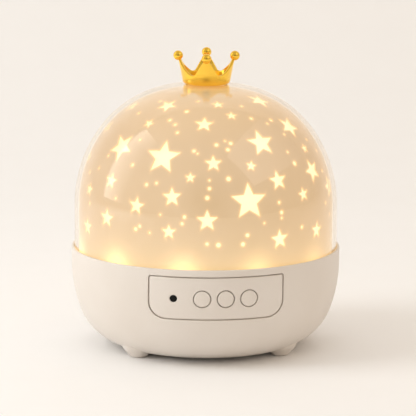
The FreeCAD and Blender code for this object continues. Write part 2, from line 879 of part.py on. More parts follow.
def make_lamp_ring_board():
    half = lamp_board_width / 2
    board = ring(lamp_circle - half, lamp_circle + half, deck_top, deck_top + lamp_board_thickness)
    low, high = drive_spot(deck_top - cut_past), drive_spot(deck_top + cut_past)
    return board.cut(pillar(lamp_board_notch, low, high))


def make_ring_lamps():
    low = deck_top + lamp_board_thickness
    half_x, half_y = lamp_length / 2, lamp_width / 2
    lamp = block(-half_x, half_x, -half_y, half_y, low, low + lamp_height)
    azimuths = [lamp_azimuth + lamp_step * i for i in range(lamp_count)]
    return [moved(lamp, at(a, lamp_circle), a) for a in azimuths]


def make_lamp_post():
    bore = post_outer_radius - post_wall
    body = ring(bore, post_outer_radius, deck_top, led_face)
    flange = ring(bore, post_flange_radius, deck_top, deck_top + post_flange)
    shelf_top = led_face - lamp_board_thickness
    shelf = ring(post_shelf_bore, post_outer_radius, shelf_top - post_shelf, shelf_top)
    post = fused([body, flange, shelf])
    for azimuth in lamp_post_screws:
        low = at(azimuth, lamp_post_screw_circle, deck_top)
        post = post.cut(pillar(small_screw_radius + pass_clearance, low, low + UP * cut_past))
    return post


def make_main_lamp_board():
    outer = post_outer_radius - post_wall - main_board_gap
    return ring(0, outer, led_face - lamp_board_thickness, led_face)


def make_main_lamps():
    half = main_lamp_side / 2
    lamp = block(-half, half, -half, half, led_face, led_face + main_lamp_height)
    step = 360 / main_lamp_count
    azimuths = [step * (i + 0.5) for i in range(main_lamp_count)]
    return [moved(lamp, at(a, main_lamp_circle), a) for a in azimuths]


def make_lens():
    """A shallow frosted cap over the centre lamps, a part of a sphere."""
    sphere = (lens_radius**2 + lens_rise**2) / (2 * lens_rise)
    low = led_face + lens_gap
    centre = V(0, 0, low + lens_rise - sphere)
    above = pillar(lens_radius + cut_past, V(0, 0, low), V(0, 0, low + lens_radius))
    outside = Part.makeSphere(sphere, centre).common(above)
    return outside.cut(Part.makeSphere(sphere - lens_wall, centre))


# Dome, star mask and crown

def star_prism(tip, depth):
    """A five-pointed star in the XY plane with a tip on +Y, run along +Z."""
    spots = []
    for i in range(10):
        radius = tip if i % 2 == 0 else tip * star_waist
        a = math.pi / 2 + math.pi * i / 5
        spots.append(V(radius * math.cos(a), radius * math.sin(a), 0))
    return Part.Face(Part.makePolygon(spots + spots[:1])).extrude(V(0, 0, depth))


def placed_on_mask(shape, azimuth, height, turn):
    """Puts a window cutter square to the mask: its Y axis up the slope, its Z axis outwards."""
    radius, lean = dome_spot(mask_offset, height)
    copy = shape.copy()
    copy.rotate(ORIGIN, UP, -turn)
    copy.rotate(ORIGIN, V(1, 0, 0), 90 - math.degrees(lean))
    copy.rotate(ORIGIN, UP, azimuth)
    copy.translate(at(azimuth, radius, height))
    return copy


def back_stars():
    """Stars on the sides and back, row by row."""
    stars = []
    for row, (drop, radii) in enumerate(zip(row_drops, row_radii)):
        azimuth = row_from + row_stagger * (row % 2)
        n = 0
        while azimuth < row_to:
            shift = row_shift * (-1) ** n
            stars.append((azimuth, drop - shift, radii[n % len(radii)], row_turn * (n % 5 - 2)))
            azimuth += row_step
            n += 1
    return stars


def make_star_mask():
    mask = dome_layer(mask_offset, mask_wall, mask_foot_height)
    cutters = []
    reach = 2 * mask_gap
    for azimuth, drop, radius, turn in front_stars + tuple(back_stars()):
        cutter = star_prism(radius, 2 * reach)
        cutter.translate(V(0, 0, -1.5 * reach))
        cutters.append(placed_on_mask(cutter, azimuth, dome_top - drop, turn))
    for azimuth, drop, radius in front_dots:
        cutter = Part.makeCylinder(radius, 2 * reach, V(0, 0, -reach))
        cutters.append(placed_on_mask(cutter, azimuth, dome_top - drop, 0))
    return mask.cut(Part.makeCompound(cutters))


def make_dome_cover():
    dome = dome_layer(0, dome_wall, dome_seat_height + seat_gap)
    low, high = V(0, 0, dome_top - cut_past), V(0, 0, dome_top + cut_past)
    return dome.cut(pillar(peg_radius + peg_clearance, low, high))


def point_outline(half, reach):
    """One pair of crown points seen square on: straight sides running into a round valley."""
    valley = crown_bottom + crown_valley
    tip = crown_bottom + crown_tip
    cx, cz = half, valley + crown_valley_arc
    dx, dz = crown_tip_half - cx, tip - cz
    far = math.hypot(dx, dz)
    angle = math.atan2(dz, dx) + math.acos(crown_valley_arc / far)
    touch = (cx + crown_valley_arc * math.cos(angle), cz + crown_valley_arc * math.sin(angle))
    middle = (angle + 3 * math.pi / 2) / 2
    middle_x = cx + crown_valley_arc * math.cos(middle)
    middle_z = cz + crown_valley_arc * math.sin(middle)
    low = crown_bottom - cut_past

    def side(sign):
        return [
            line(V(sign * half, -reach, low), V(sign * half, -reach, valley)),
            Part.Arc(
                V(sign * half, -reach, valley),
                V(sign * middle_x, -reach, middle_z),
                V(sign * touch[0], -reach, touch[1]),
            ).toShape(),
            line(V(sign * touch[0], -reach, touch[1]), V(sign * crown_tip_half, -reach, tip)),
        ]

    close = [
        line(V(-crown_tip_half, -reach, tip), V(crown_tip_half, -reach, tip)),
        line(V(-half, -reach, low), V(half, -reach, low)),
    ]
    face = Part.Face(Part.Wire(Part.__sortEdges__(side(1) + side(-1) + close)))
    return face.extrude(V(0, 2 * reach, 0))


def make_crown():
    """A flared cup cut to four points, with a ball on each tip and a peg below."""
    height = crown_bottom + crown_tip + cut_past
    lean = math.atan(crown_flare)
    tangent = crown_foot_arc * math.tan((math.pi / 2 - lean) / 2)
    corner = crown_radius - tangent
    side = V(crown_radius + tangent * math.sin(lean), 0, crown_bottom + tangent * math.cos(lean))
    rim = V(crown_radius + crown_flare * (height - crown_bottom), 0, height)
    inner_rim = rim - V(crown_wall, 0, 0)
    floor = crown_bottom + crown_floor
    floor_edge = V(crown_radius + crown_flare * crown_floor - crown_wall, 0, floor)
    edges = [
        line(V(0, 0, crown_bottom), V(corner, 0, crown_bottom)),
        arc((corner, crown_bottom + crown_foot_arc), crown_foot_arc, -math.pi / 2, -lean),
        line(side, rim),
        line(rim, inner_rim),
        line(inner_rim, floor_edge),
        line(floor_edge, V(0, 0, floor)),
        line(V(0, 0, floor), V(0, 0, crown_bottom)),
    ]
    cup = turned(edges)
    valley_radius = crown_radius + crown_flare * crown_valley
    angle = math.radians(crown_valley_angle)
    span = 2 * crown_radius
    front = point_outline(valley_radius * math.sin(angle), span)
    sides = moved(point_outline(valley_radius * math.cos(angle), span), ORIGIN, 90)
    low = pillar(span, V(0, 0, crown_bottom - cut_past), V(0, 0, crown_bottom + crown_valley))
    cup = cup.common(fused([front, sides, low]))
    ball_spots = [at(azimuth, ball_circle, crown_bottom + ball_height) for azimuth in (0, 90, 180, 270)]
    balls = [Part.makeSphere(ball_radius, spot) for spot in ball_spots]
    cup = fused([cup] + balls)
    cup = cup.cut(Part.makeSphere(crown_arc + press_clearance, V(0, 0, top_centre[1])))
    peg_low = V(0, 0, dome_top - dome_wall - washer_thickness - peg_end)
    peg = pillar(peg_radius, peg_low, V(0, 0, floor - fuse_overlap))
    return moved(fused([cup, peg]), ORIGIN, crown_turn)


def make_crown_washer():
    high = dome_top - dome_wall - washer_gap
    return ring(peg_radius + washer_fit, washer_radius, high - washer_thickness, high)


# Power

def make_cell():
    half = cell_length / 2
    can = pillar(cell_radius, V(-half, 0, cell_height), V(half - cell_cap, 0, cell_height))
    cap = pillar(cell_cap_radius, V(half - cell_cap - fuse_overlap, 0, cell_height), V(half, 0, cell_height))
    return fused([can, cap])


def make_cell_holder():
    half_x = cell_length / 2 + holder_gap + holder_wall
    half_y = cell_radius + holder_gap + holder_wall
    low = holder_low
    body = block(-half_x, half_x, -half_y, half_y, low, low + holder_height)
    inside = cell_radius + holder_gap
    x = cell_length / 2 + holder_gap
    body = body.cut(pillar(inside, V(-x, 0, cell_height), V(x, 0, cell_height)))
    body = body.cut(block(-x, x, -inside, inside, cell_height, low + holder_height + cut_past))
    return body.common(base_body(shell_wall, rim_height))


def make_cell_contacts():
    """The two metal tongues at the ends of the holder."""
    outside = cell_length / 2 + holder_gap
    inside = outside - contact_thickness
    low, high = cell_height - contact_half, cell_height + contact_rise
    sides = ((-outside, -inside), (inside, outside))
    return [block(x0, x1, -contact_half, contact_half, low, high) for x0, x1 in sides]


def make_charging_socket():
    back = socket_front - socket_depth
    shell = socket_slot(0, back, socket_front)
    mouth = back + socket_back_wall
    shell = shell.cut(socket_slot(-socket_wall, mouth, socket_front + cut_past))
    half, low = tongue_width / 2, socket_height - tongue_thickness / 2
    end = mouth + tongue_reach
    return fused([shell, block(-half, half, back + tongue_root, end, low, low + tongue_thickness)])


def make_charge_board():
    half = charge_board_width / 2
    low = charge_top - board_thickness
    board = block(-half, half, charge_back, charge_front, low, charge_top)
    for x, y in charge_bosses:
        board = board.cut(pillar(small_screw_radius + pass_clearance, V(x, y, low), V(x, y, charge_top)))
    return board


def make_control_board():
    half, low = control_board_half, control_board_underside
    board = block(-half, half, control_board_front, control_board_back, low, control_top)
    for x, y in control_screws:
        board = board.cut(pillar(small_screw_radius + pass_clearance, V(x, y, low), V(x, y, control_top)))
    return board


def make_board_parts():
    """The chip, two tall capacitors and a lead socket on the control board."""
    y = (control_board_front + control_board_back) / 2
    long, wide = chip_half_length, chip_half_width
    chip = block(-long, long, y - wide, y + wide, control_top, control_top + chip_height)
    caps = [
        pillar(capacitor_radius, V(x, y, control_top), V(x, y, control_top + capacitor_height))
        for x in (-capacitor_x, capacitor_x)
    ]
    half, low = lead_socket_half, control_board_underside - header_height
    header = block(-half, half, header_back - header_width, header_back, low, low + header_height)
    return [chip, header] + caps


# Leads

def lead(points):
    """A round lead through straight runs, bent by an arc at each inner point, to its socket."""
    end = V(points[-1][0], header_back + lead_gap, control_board_underside - header_height / 2)
    spots = [V(*p) for p in points] + [end]
    edges = []
    start = spots[0]
    for before, corner, after in zip(spots, spots[1:], spots[2:]):
        back = (before - corner).normalize()
        ahead = (after - corner).normalize()
        half = back.getAngle(ahead) / 2
        reach = lead_bend / math.tan(half)
        middle = (back + ahead).normalize() * (lead_bend / math.sin(half) - lead_bend)
        first_spot, last_spot = corner + back * reach, corner + ahead * reach
        edges.append(line(start, first_spot))
        edges.append(Part.Arc(first_spot, corner + middle, last_spot).toShape())
        start = last_spot
    edges.append(line(start, end))
    circle = Part.makeCircle(lead_radius, spots[0], spots[1] - spots[0])
    return Part.Wire(edges).makePipeShell([Part.Wire(circle)], True, False)


def make_cell_leads():
    mirrored = [(-x, y, z) for x, y, z in cell_lead]
    return [lead(cell_lead), lead(mirrored)]


# Screws

def screw(radius, head_radius, head, length):
    """A pan head screw pointing along +Z, its head under the origin."""
    body = fused([Part.makeCylinder(head_radius, head, UP * -head), Part.makeCylinder(radius, length)])
    arm, width = head_radius * slot_length, head_radius * slot_width
    low, high = -head - cut_past, head * slot_depth - head
    cross = [
        block(-arm, arm, -width, width, low, high),
        block(-width, width, -arm, arm, low, high),
    ]
    return body.cut(fused(cross))


def make_case_screws():
    body = screw(screw_radius, screw_head_radius, screw_head, case_screw_length)
    seat = floor_height + screw_head + screw_sunk
    return [moved(body, at(a, deck_post_circle, seat)) for a in post_azimuths]


def make_board_screws():
    """The small screws of the three boards, the motor bracket and the lamp post."""
    body = screw(small_screw_radius, small_head_radius, small_head, small_screw_length)
    flipped = body.copy()
    flipped.rotate(ORIGIN, V(1, 0, 0), 180)
    screws = [moved(body, V(x, y, control_board_underside)) for x, y in control_screws]
    screws += [moved(flipped, V(x, y, charge_top)) for x, y in charge_bosses]
    lying = body.copy()
    lying.rotate(ORIGIN, V(1, 0, 0), 90)
    screws += [moved(lying, V(x, -board_rear, board_screw_height)) for x in board_screws]
    return screws


def make_deck_screws():
    """The screws that go through the bracket and the lamp post into the deck."""
    short = screw(small_screw_radius, small_head_radius, small_head, deck_screw_length)
    ear_low = deck_underside - bracket_ear_thickness
    screws = [moved(short, ear_spot(x, ear_low)) for x in bracket_ears]
    flipped = short.copy()
    flipped.rotate(ORIGIN, V(1, 0, 0), 180)
    for azimuth in lamp_post_screws:
        screws.append(moved(flipped, at(azimuth, lamp_post_screw_circle, deck_top + post_flange)))
    return screws


def main():
    os.makedirs("parts", exist_ok=True)
    save("base_shell", make_base_shell())
    names = ("foot_front_left", "foot_rear_left", "foot_front_right", "foot_rear_right")
    for name, spot in zip(names, foot_spots()):
        save(name, make_foot(spot))
    save("control_panel", make_control_panel())
    save("receiver_window", make_receiver_window())
    save("infrared_receiver", make_receiver())
    save("switch_board", make_switch_board())
    for name, x in zip(("light", "colour", "motion"), button_places):
        save(f"{name}_button", make_button(x))
        save(f"{name}_switch", make_switch(x))
        save(f"{name}_switch_plunger", make_plunger(x))
    save("top_deck", make_top_deck())
    save("ring_gear", make_ring_gear())
    save("turntable", make_turntable())
    save("motor_pinion", make_pinion())
    save("motor_shaft", make_motor_shaft())
    save("motor_can", make_motor())
    save("motor_gearbox", make_gearbox())
    save("motor_bracket", make_motor_bracket())
    save("lamp_ring_board", make_lamp_ring_board())
    save("ring_lamps", *make_ring_lamps())
    save("lamp_post", make_lamp_post())
    save("main_lamp_board", make_main_lamp_board())
    save("main_lamps", *make_main_lamps())
    save("lamp_lens", make_lens())
    save("frosted_dome", dome_layer(frosted_offset, frosted_wall, mask_foot_height))
    save("star_mask", make_star_mask())
    save("dome_cover", make_dome_cover())
    save("crown", make_crown())
    save("crown_washer", make_crown_washer())
    save("battery_cell", make_cell())
    save("battery_holder", make_cell_holder())
    save("battery_contacts", *make_cell_contacts())
    save("charging_socket", make_charging_socket())
    save("charge_board", make_charge_board())
    save("control_board", make_control_board())
    save("control_board_parts", *make_board_parts())
    save("battery_leads", *make_cell_leads())
    save("motor_lead", lead(motor_lead))
    save("lamp_lead", lead(lamp_lead))
    save("charging_lead", lead(charge_lead))
    save("case_screws", *make_case_screws())
    save("board_screws", *make_board_screws())
    save("deck_screws", *make_deck_screws())


main()
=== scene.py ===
import math

import bmesh
import bpy
import numpy as np
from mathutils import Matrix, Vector, geometry, kdtree


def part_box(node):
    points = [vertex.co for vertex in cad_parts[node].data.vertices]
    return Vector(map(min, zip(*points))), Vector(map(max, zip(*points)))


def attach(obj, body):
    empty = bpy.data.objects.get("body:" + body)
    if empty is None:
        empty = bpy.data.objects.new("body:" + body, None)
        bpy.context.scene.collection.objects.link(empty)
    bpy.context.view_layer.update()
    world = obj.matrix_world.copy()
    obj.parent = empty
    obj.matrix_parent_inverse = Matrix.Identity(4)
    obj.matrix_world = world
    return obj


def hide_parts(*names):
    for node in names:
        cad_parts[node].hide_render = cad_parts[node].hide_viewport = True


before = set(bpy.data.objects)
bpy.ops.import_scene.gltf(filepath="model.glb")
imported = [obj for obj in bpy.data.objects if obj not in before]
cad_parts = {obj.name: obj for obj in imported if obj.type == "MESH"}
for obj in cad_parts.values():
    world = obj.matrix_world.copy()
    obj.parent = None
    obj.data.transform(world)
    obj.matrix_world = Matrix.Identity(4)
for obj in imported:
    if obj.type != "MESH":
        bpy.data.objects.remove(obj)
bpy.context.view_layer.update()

# A star night light on a table: the looks of every piece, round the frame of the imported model.
# Metres, Z up, the front with the buttons towards -Y, as in the frame.


# Base shell
# One white bowl of moulded plastic with a satin, very finely grained skin. Its rim is rolled
# over, and a shallow pocket with softened edges is let into its front for the control panel.

mm = 0.001
base_radius = 62.5 * mm
base_floor = 1.3 * mm
rim_height = 47.2 * mm
side_arc = 65.0 * mm
side_arc_height = 40.5 * mm
heel_arc = 25.7 * mm
shell_wall = 2.2 * mm
rim_step_height = 45.0 * mm
rim_inside = 61.25 * mm
rim_round = 0.55 * mm
rim_inner_round = 0.3 * mm
panel_centre = 0.5 * mm
panel_half_width = 30.0 * mm
panel_top = 43.6 * mm
panel_bottom = 24.4 * mm
panel_low_corner = 7.4 * mm
panel_top_corner = 0.9 * mm
panel_groove = 0.45 * mm
pocket_lip = 2.0 * mm
pocket_depth = 1.5 * mm
pocket_edge = 0.45 * mm
socket_height = 20.0 * mm
socket_half_width = 6.27 * mm
socket_half_height = 3.4 * mm
socket_edge = 0.4 * mm
rim_steps = 288
skin_spacing = 1.6 * mm


def base_outline(depth, top, step=0.6 * mm):
    """Points (radius, height) of the bowl's section at a depth under its skin, floor to top."""
    side_x = base_radius - side_arc
    rise = side_arc_height - base_floor - heel_arc
    lean = -math.asin(rise / (side_arc - heel_arc))
    heel_x = side_x + (side_arc - heel_arc) * math.cos(lean)
    heel_z = base_floor + heel_arc
    points = [(x, base_floor + depth) for x in np.arange(0.0, heel_x, 2 * mm)]
    for centre, radius, start, end in (
        ((heel_x, heel_z), heel_arc - depth, -math.pi / 2, lean),
        ((side_x, side_arc_height), side_arc - depth, lean, 0.0),
    ):
        count = max(2, round(radius * (end - start) / step))
        for i in range(count):
            angle = start + (end - start) * i / count
            points.append((centre[0] + radius * math.cos(angle), centre[1] + radius * math.sin(angle)))
    count = max(2, round((top - side_arc_height) / step))
    for i in range(count + 1):
        height = side_arc_height + (top - side_arc_height) * i / count
        points.append((base_radius - depth, height))
    return points


class Section:
    """A section line turned about Z: radius and height by the distance along it."""

    def __init__(self, points):
        self.radius, self.height = (np.array(column) for column in zip(*points))
        steps = np.hypot(np.diff(self.radius), np.diff(self.height))
        self.along = np.concatenate([[0.0], np.cumsum(steps)])
        self.length = self.along[-1]

    def at(self, distance):
        return np.interp(distance, self.along, self.radius), np.interp(distance, self.along, self.height)

    def by_height(self, height):
        """Distance along a line that only rises or only falls, at a height."""
        order = 1 if self.height[-1] > self.height[0] else -1
        return float(np.interp(height, self.height[::order], self.along[::order]))


def radius_at(height, depth=0.0):
    """Radius of the bowl's side at a height, at a depth under its skin."""
    if height >= side_arc_height:
        return base_radius - depth
    fall = side_arc_height - height
    return base_radius - side_arc + math.sqrt((side_arc - depth) ** 2 - fall**2)


def inside_loop(x, y, loop):
    """Which of many points lie inside a closed line, as a row of True and False."""
    inside = np.zeros(len(x), bool)
    for (x0, y0), (x1, y1) in zip(loop, loop[1:] + loop[:1]):
        if y0 == y1:
            continue
        crosses = (y0 > y) != (y1 > y)
        inside ^= crosses & (x < (x1 - x0) * (y - y0) / (y1 - y0) + x0)
    return inside


def cut_sheet(points, loops, edge=None, clear=0.3 * mm):
    """Triangles over flat points, with loops cut out and nothing kept outside an edge loop."""
    rings = loops + ([edge] if edge else [])
    tree = kdtree.KDTree(sum(len(ring) for ring in rings) or 1)
    for i, spot in enumerate(spot for ring in rings for spot in ring):
        tree.insert((spot[0], spot[1], 0.0), i)
    tree.balance()
    kept = [p for p in points if not rings or tree.find((p[0], p[1], 0.0))[2] > clear]
    borders = []
    for ring in rings:
        first = len(kept)
        kept += ring
        borders += [(first + i, first + (i + 1) % len(ring)) for i in range(len(ring))]
    flat, _, faces, _, _, _ = geometry.delaunay_2d_cdt([Vector(p) for p in kept], borders, [], 0, 1e-7)
    corners = np.array([(v.x, v.y) for v in flat])
    faces = np.array([tuple(face) for face in faces])
    middle = corners[faces].mean(axis=1)
    keep = np.ones(len(faces), bool)
    for loop in loops:
        low, high = np.min(loop, axis=0), np.max(loop, axis=0)
        near = np.all((middle > low) & (middle < high), axis=1)
        rows = np.nonzero(near)[0]
        keep[rows[inside_loop(middle[rows, 0], middle[rows, 1], loop)]] = False
    if edge:
        keep &= inside_loop(middle[:, 0], middle[:, 1], edge)
    faces = faces[keep]
    used, renumbered = np.unique(faces, return_inverse=True)
    return corners[used], renumbered.reshape(faces.shape)


def turned_sheet(section, loops, spacing, last_ring=None, fine=None):
    """A skin turned about Z from its pole outwards, with loops of (azimuth, distance) cut out."""
    points = [(0.0, 0.0)]
    rows = np.linspace(0.0, section.length, max(3, round(section.length / spacing)) + 1)[1:]
    for row, distance in enumerate(rows):
        radius = float(section.at(distance)[0])
        count = max(8, round(2 * math.pi * radius / spacing))
        turn = 0.5 * (row % 2)
        if row == len(rows) - 1 and last_ring:
            count, turn = last_ring, 0.0
        for i in range(count):
            angle = 2 * math.pi * (i + turn) / count
            points.append((distance * math.sin(angle), -distance * math.cos(angle)))
    points += fine or []
    flat_loops = [[(s * math.sin(a), -s * math.cos(a)) for a, s in loop] for loop in loops]
    corners, faces = cut_sheet(points, flat_loops)
    distance = np.hypot(corners[:, 0], corners[:, 1])
    angle = np.arctan2(corners[:, 0], -corners[:, 1])
    radius, height = section.at(distance)
    return np.stack([radius * np.sin(angle), -radius * np.cos(angle), height], axis=1), faces


def loft(rows, closed=True):
    """Quads between rows of points that have the same count."""
    count = len(rows[0])
    spots = [spot for row in rows for spot in row]
    faces = []
    for r in range(len(rows) - 1):
        for i in range(count if closed else count - 1):
            j = (i + 1) % count
            faces.append((r * count + i, r * count + j, (r + 1) * count + j, (r + 1) * count + i))
    return spots, faces


def lathe(points, count):
    """Rows of a section's points turned about Z, as a loft. A point on the axis closes it."""
    angles = [2 * math.pi * i / count for i in range(count)]
    return loft([[(r * math.sin(a), -r * math.cos(a), z) for a in angles] for r, z in points])


def piece(name, parts, material, flip=False, smooth=True, weld=1e-6):
    """One mesh object from lists of (points, faces), welded, with its faces turned outwards."""
    body = bmesh.new()
    for spots, faces in parts:
        corners = [body.verts.new(tuple(spot)) for spot in spots]
        for face in faces:
            body.faces.new([corners[i] for i in face])
    bmesh.ops.remove_doubles(body, verts=body.verts, dist=weld)
    bmesh.ops.dissolve_degenerate(body, edges=body.edges, dist=weld / 10)
    bmesh.ops.recalc_face_normals(body, faces=body.faces)
    if flip:
        bmesh.ops.reverse_faces(body, faces=body.faces)
    mesh = bpy.data.meshes.new(name)
    body.to_mesh(mesh)
    body.free()
    mesh.materials.append(material)
    mesh.polygons.foreach_set("use_smooth", [smooth] * len(mesh.polygons))
    made = bpy.data.objects.new(name, mesh)
    bpy.context.scene.collection.objects.link(made)
    return made


def panel_outline(grow, arc_steps=10, run_step=1.2 * mm):
    """The panel's outline as (x, z) from the front, grown by a margin, with even steps."""
    half, low, high = panel_half_width + grow, panel_bottom - grow, panel_top + grow
    big, small = panel_low_corner + grow, panel_top_corner + grow
    side_run = panel_top - panel_bottom - panel_low_corner - panel_top_corner
    top_run = 2 * (panel_half_width - panel_top_corner)
    low_run = 2 * (panel_half_width - panel_low_corner)
    corners = (
        (half - big, low + big, big, -math.pi / 2, side_run),
        (half - small, high - small, small, 0.0, top_run),
        (small - half, high - small, small, math.pi / 2, side_run),
        (big - half, low + big, big, math.pi, low_run),
    )
    arcs = []
    for cx, cz, radius, start, _ in corners:
        turns = [start + math.pi / 2 * i / arc_steps for i in range(arc_steps + 1)]
        arcs.append([(panel_centre + cx + radius * math.cos(a), cz + radius * math.sin(a)) for a in turns])
    outline = []
    for arc, after, (*_, run) in zip(arcs, arcs[1:] + arcs[:1], corners):
        (x0, z0), (x1, z1) = arc[-1], after[0]
        count = max(1, round(run / run_step))
        outline += arc
        outline += [(x0 + (x1 - x0) * i / count, z0 + (z1 - z0) * i / count) for i in range(1, count)]
    return outline


def on_bowl(x, z, depth, back=False):
    """The point of the bowl's side that is seen at x, z from the front or the back."""
    radius = radius_at(z, depth)
    y = math.sqrt(radius**2 - x**2)
    return (x, y if back else -y, z)


def softened(edge, depth, steps=4):
    """Pairs (outset, depth) round a softened edge and down a wall."""
    pairs = []
    for i in range(steps + 1):
        angle = math.pi / 2 * i / steps
        pairs.append((edge * (1 - math.sin(angle)), edge * (1 - math.cos(angle))))
    return pairs + [(0.0, depth)]


def socket_outline(grow, steps=12):
    """The rounded slot at the back, as (x, z)."""
    radius = socket_half_height + grow
    run = socket_half_width - socket_half_height
    spots = []
    for side, start in ((1, -math.pi / 2), (-1, math.pi / 2)):
        for i in range(steps + 1):
            angle = start + math.pi * i / steps
            spots.append((side * run + radius * math.cos(angle), socket_height + radius * math.sin(angle)))
    return spots


def add_node(nodes, kind, operation="", **values):
    """A new shader node with its operation and plain input values, given by socket name."""
    made = nodes.new("ShaderNode" + kind)
    if operation:
        made.operation = operation
    for socket, value in values.items():
        made.inputs[socket.replace("_", " ")].default_value = value
    return made


def colour_mix(nodes, first=None, second=None):
    """A colour mix node: its colours go into inputs 6 and 7 and come out of output 2."""
    made = nodes.new("ShaderNodeMix")
    made.data_type = "RGBA"
    for place, colour in ((6, first), (7, second)):
        if colour:
            made.inputs[place].default_value = (*colour, 1)
    return made


def new_material(name, **values):
    """A material with its nodes, links and main shader, whose plain values go by socket name."""
    material = bpy.data.materials.new(name)
    material.use_nodes = True
    nodes, links = material.node_tree.nodes, material.node_tree.links
    shader = nodes["Principled BSDF"]
    for socket, value in values.items():
        shader.inputs[socket.replace("_", " ")].default_value = value
    return material, nodes, links, shader


def mix_with_clear(nodes, links, share, colour=(1, 1, 1)):
    """Mixes the main shader with a plain see-through one, by a share from 0 to 1."""
    clear = add_node(nodes, "BsdfTransparent", Color=(*colour, 1))
    mix = add_node(nodes, "MixShader")
    links.new(share, mix.inputs[0])
    links.new(nodes["Principled BSDF"].outputs[0], mix.inputs[1])
    links.new(clear.outputs[0], mix.inputs[2])
    links.new(mix.outputs[0], nodes["Material Output"].inputs["Surface"])


def grain_group():
    """Fine moulded grain and faint unevenness, for every moulded plastic piece."""
    group = bpy.data.node_groups.new("moulded_grain", "ShaderNodeTree")
    for name, kind, start in (
        ("Colour", "NodeSocketColor", (0.8, 0.8, 0.8, 1)),
        ("Deeper Colour", "NodeSocketColor", (0.7, 0.7, 0.7, 1)),
        ("Grain Scale", "NodeSocketFloat", 2600.0),
        ("Roughness", "NodeSocketFloat", 0.4),
    ):
        group.interface.new_socket(name, in_out="INPUT", socket_type=kind).default_value = start
    for name, kind in (
        ("Colour", "NodeSocketColor"), ("Roughness", "NodeSocketFloat"), ("Height", "NodeSocketFloat"),
    ):
        group.interface.new_socket(name, in_out="OUTPUT", socket_type=kind)
    nodes, links = group.nodes, group.links
    start, end = nodes.new("NodeGroupInput"), nodes.new("NodeGroupOutput")
    place = add_node(nodes, "TexCoord")
    fine = add_node(nodes, "TexNoise", Detail=2.0)
    broad = add_node(nodes, "TexNoise", Scale=38.0, Detail=3.0)
    blend = colour_mix(nodes)
    spread = add_node(nodes, "MapRange", From_Min=0.35, From_Max=0.7)
    rough = add_node(nodes, "Math", "MULTIPLY_ADD")
    rough.inputs[1].default_value = 0.08
    links.new(place.outputs["Object"], fine.inputs["Vector"])
    links.new(place.outputs["Object"], broad.inputs["Vector"])
    links.new(start.outputs["Grain Scale"], fine.inputs["Scale"])
    links.new(broad.outputs["Fac"], spread.inputs["Value"])
    links.new(spread.outputs["Result"], blend.inputs["Factor"])
    links.new(start.outputs["Colour"], blend.inputs[6])
    links.new(start.outputs["Deeper Colour"], blend.inputs[7])
    links.new(fine.outputs["Fac"], rough.inputs[0])
    links.new(start.outputs["Roughness"], rough.inputs[2])
    links.new(blend.outputs[2], end.inputs["Colour"])
    links.new(rough.outputs[0], end.inputs["Roughness"])
    links.new(fine.outputs["Fac"], end.inputs["Height"])
    return group


moulded_grain = grain_group()


def moulded(name, colour, deeper, roughness=0.4, grain=2600.0, bump=0.04, sheen=0.0, light=None):
    """A moulded plastic: two near colours, a fine grain, and light of its own where it has any."""
    material, nodes, links, shader = new_material(name, Coat_Weight=sheen, Coat_Roughness=0.25)
    group = nodes.new("ShaderNodeGroup")
    group.node_tree = moulded_grain
    group.inputs["Colour"].default_value = (*colour, 1)
    group.inputs["Deeper Colour"].default_value = (*deeper, 1)
    group.inputs["Grain Scale"].default_value = grain
    group.inputs["Roughness"].default_value = roughness
    raised = add_node(nodes, "Bump", Strength=bump, Distance=0.2 * mm)
    links.new(group.outputs["Colour"], shader.inputs["Base Color"])
    links.new(group.outputs["Roughness"], shader.inputs["Roughness"])
    links.new(group.outputs["Height"], raised.inputs["Height"])
    links.new(raised.outputs["Normal"], shader.inputs["Normal"])
    if light:
        links.new(group.outputs["Colour"], shader.inputs["Emission Color"])
        shader.inputs["Emission Strength"].default_value = light
    return material


cream_plastic = moulded("cream_plastic", (0.81, 0.75, 0.69), (0.785, 0.72, 0.655), 0.42, sheen=0.12)

skin = Section(base_outline(0.0, rim_height - rim_round))
groove_rows = [
    [on_bowl(x, z, depth) for x, z in panel_outline(panel_groove + outset)]
    for outset, depth in softened(pocket_edge, pocket_depth)
]
groove_rows.append([on_bowl(x, z, pocket_depth) for x, z in panel_outline(-pocket_lip)])
socket_rows = [
    [on_bowl(x, z, depth, back=True) for x, z in socket_outline(outset)]
    for outset, depth in softened(socket_edge, shell_wall)
]


def as_loop(row):
    """A row of points on the skin as (azimuth, distance along the section)."""
    return [(math.atan2(x, -y), skin.by_height(z)) for x, y, z in row]


rim_turn = [
    (base_radius - rim_round * (1 - math.cos(a)), rim_height - rim_round * (1 - math.sin(a)))
    for a in (math.pi / 2 * i / 5 for i in range(6))
]
rim_turn += [
    (rim_inside + rim_inner_round * (1 - math.sin(a)), rim_height - rim_inner_round * (1 - math.cos(a)))
    for a in (math.pi / 2 * i / 4 for i in range(5))
]
rim_turn += [(rim_inside, rim_step_height), (base_radius - shell_wall, rim_step_height)]
inside = base_outline(shell_wall, rim_step_height, 2 * mm)[::-1]
base_shell = piece(
    "base_shell_skin",
    [
        turned_sheet(skin, [as_loop(groove_rows[0]), as_loop(socket_rows[0])], skin_spacing, rim_steps),
        lathe(rim_turn, rim_steps),
        lathe(inside, rim_steps),
        loft(groove_rows),
        loft(socket_rows),
    ],
    cream_plastic,
)
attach(base_shell, "base")
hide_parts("base_shell")


# Feet
# Four short round feet of the same plastic, moulded with a soft edge and a flat sole.

foot_x, foot_y = 32.7 * mm, 26.0 * mm
foot_steps = 48
foot_profile = (
    (0.0, 0.0), (2.9, 0.0), (3.45, 0.07), (3.9, 0.26), (4.3, 0.62), (4.65, 1.1), (5.2, 1.75),
    (5.9, 2.55), (6.6, 3.35), (7.2, 4.15), (7.6, 4.9), (7.8, 5.6), (7.85, 6.4), (7.85, 7.4),
)


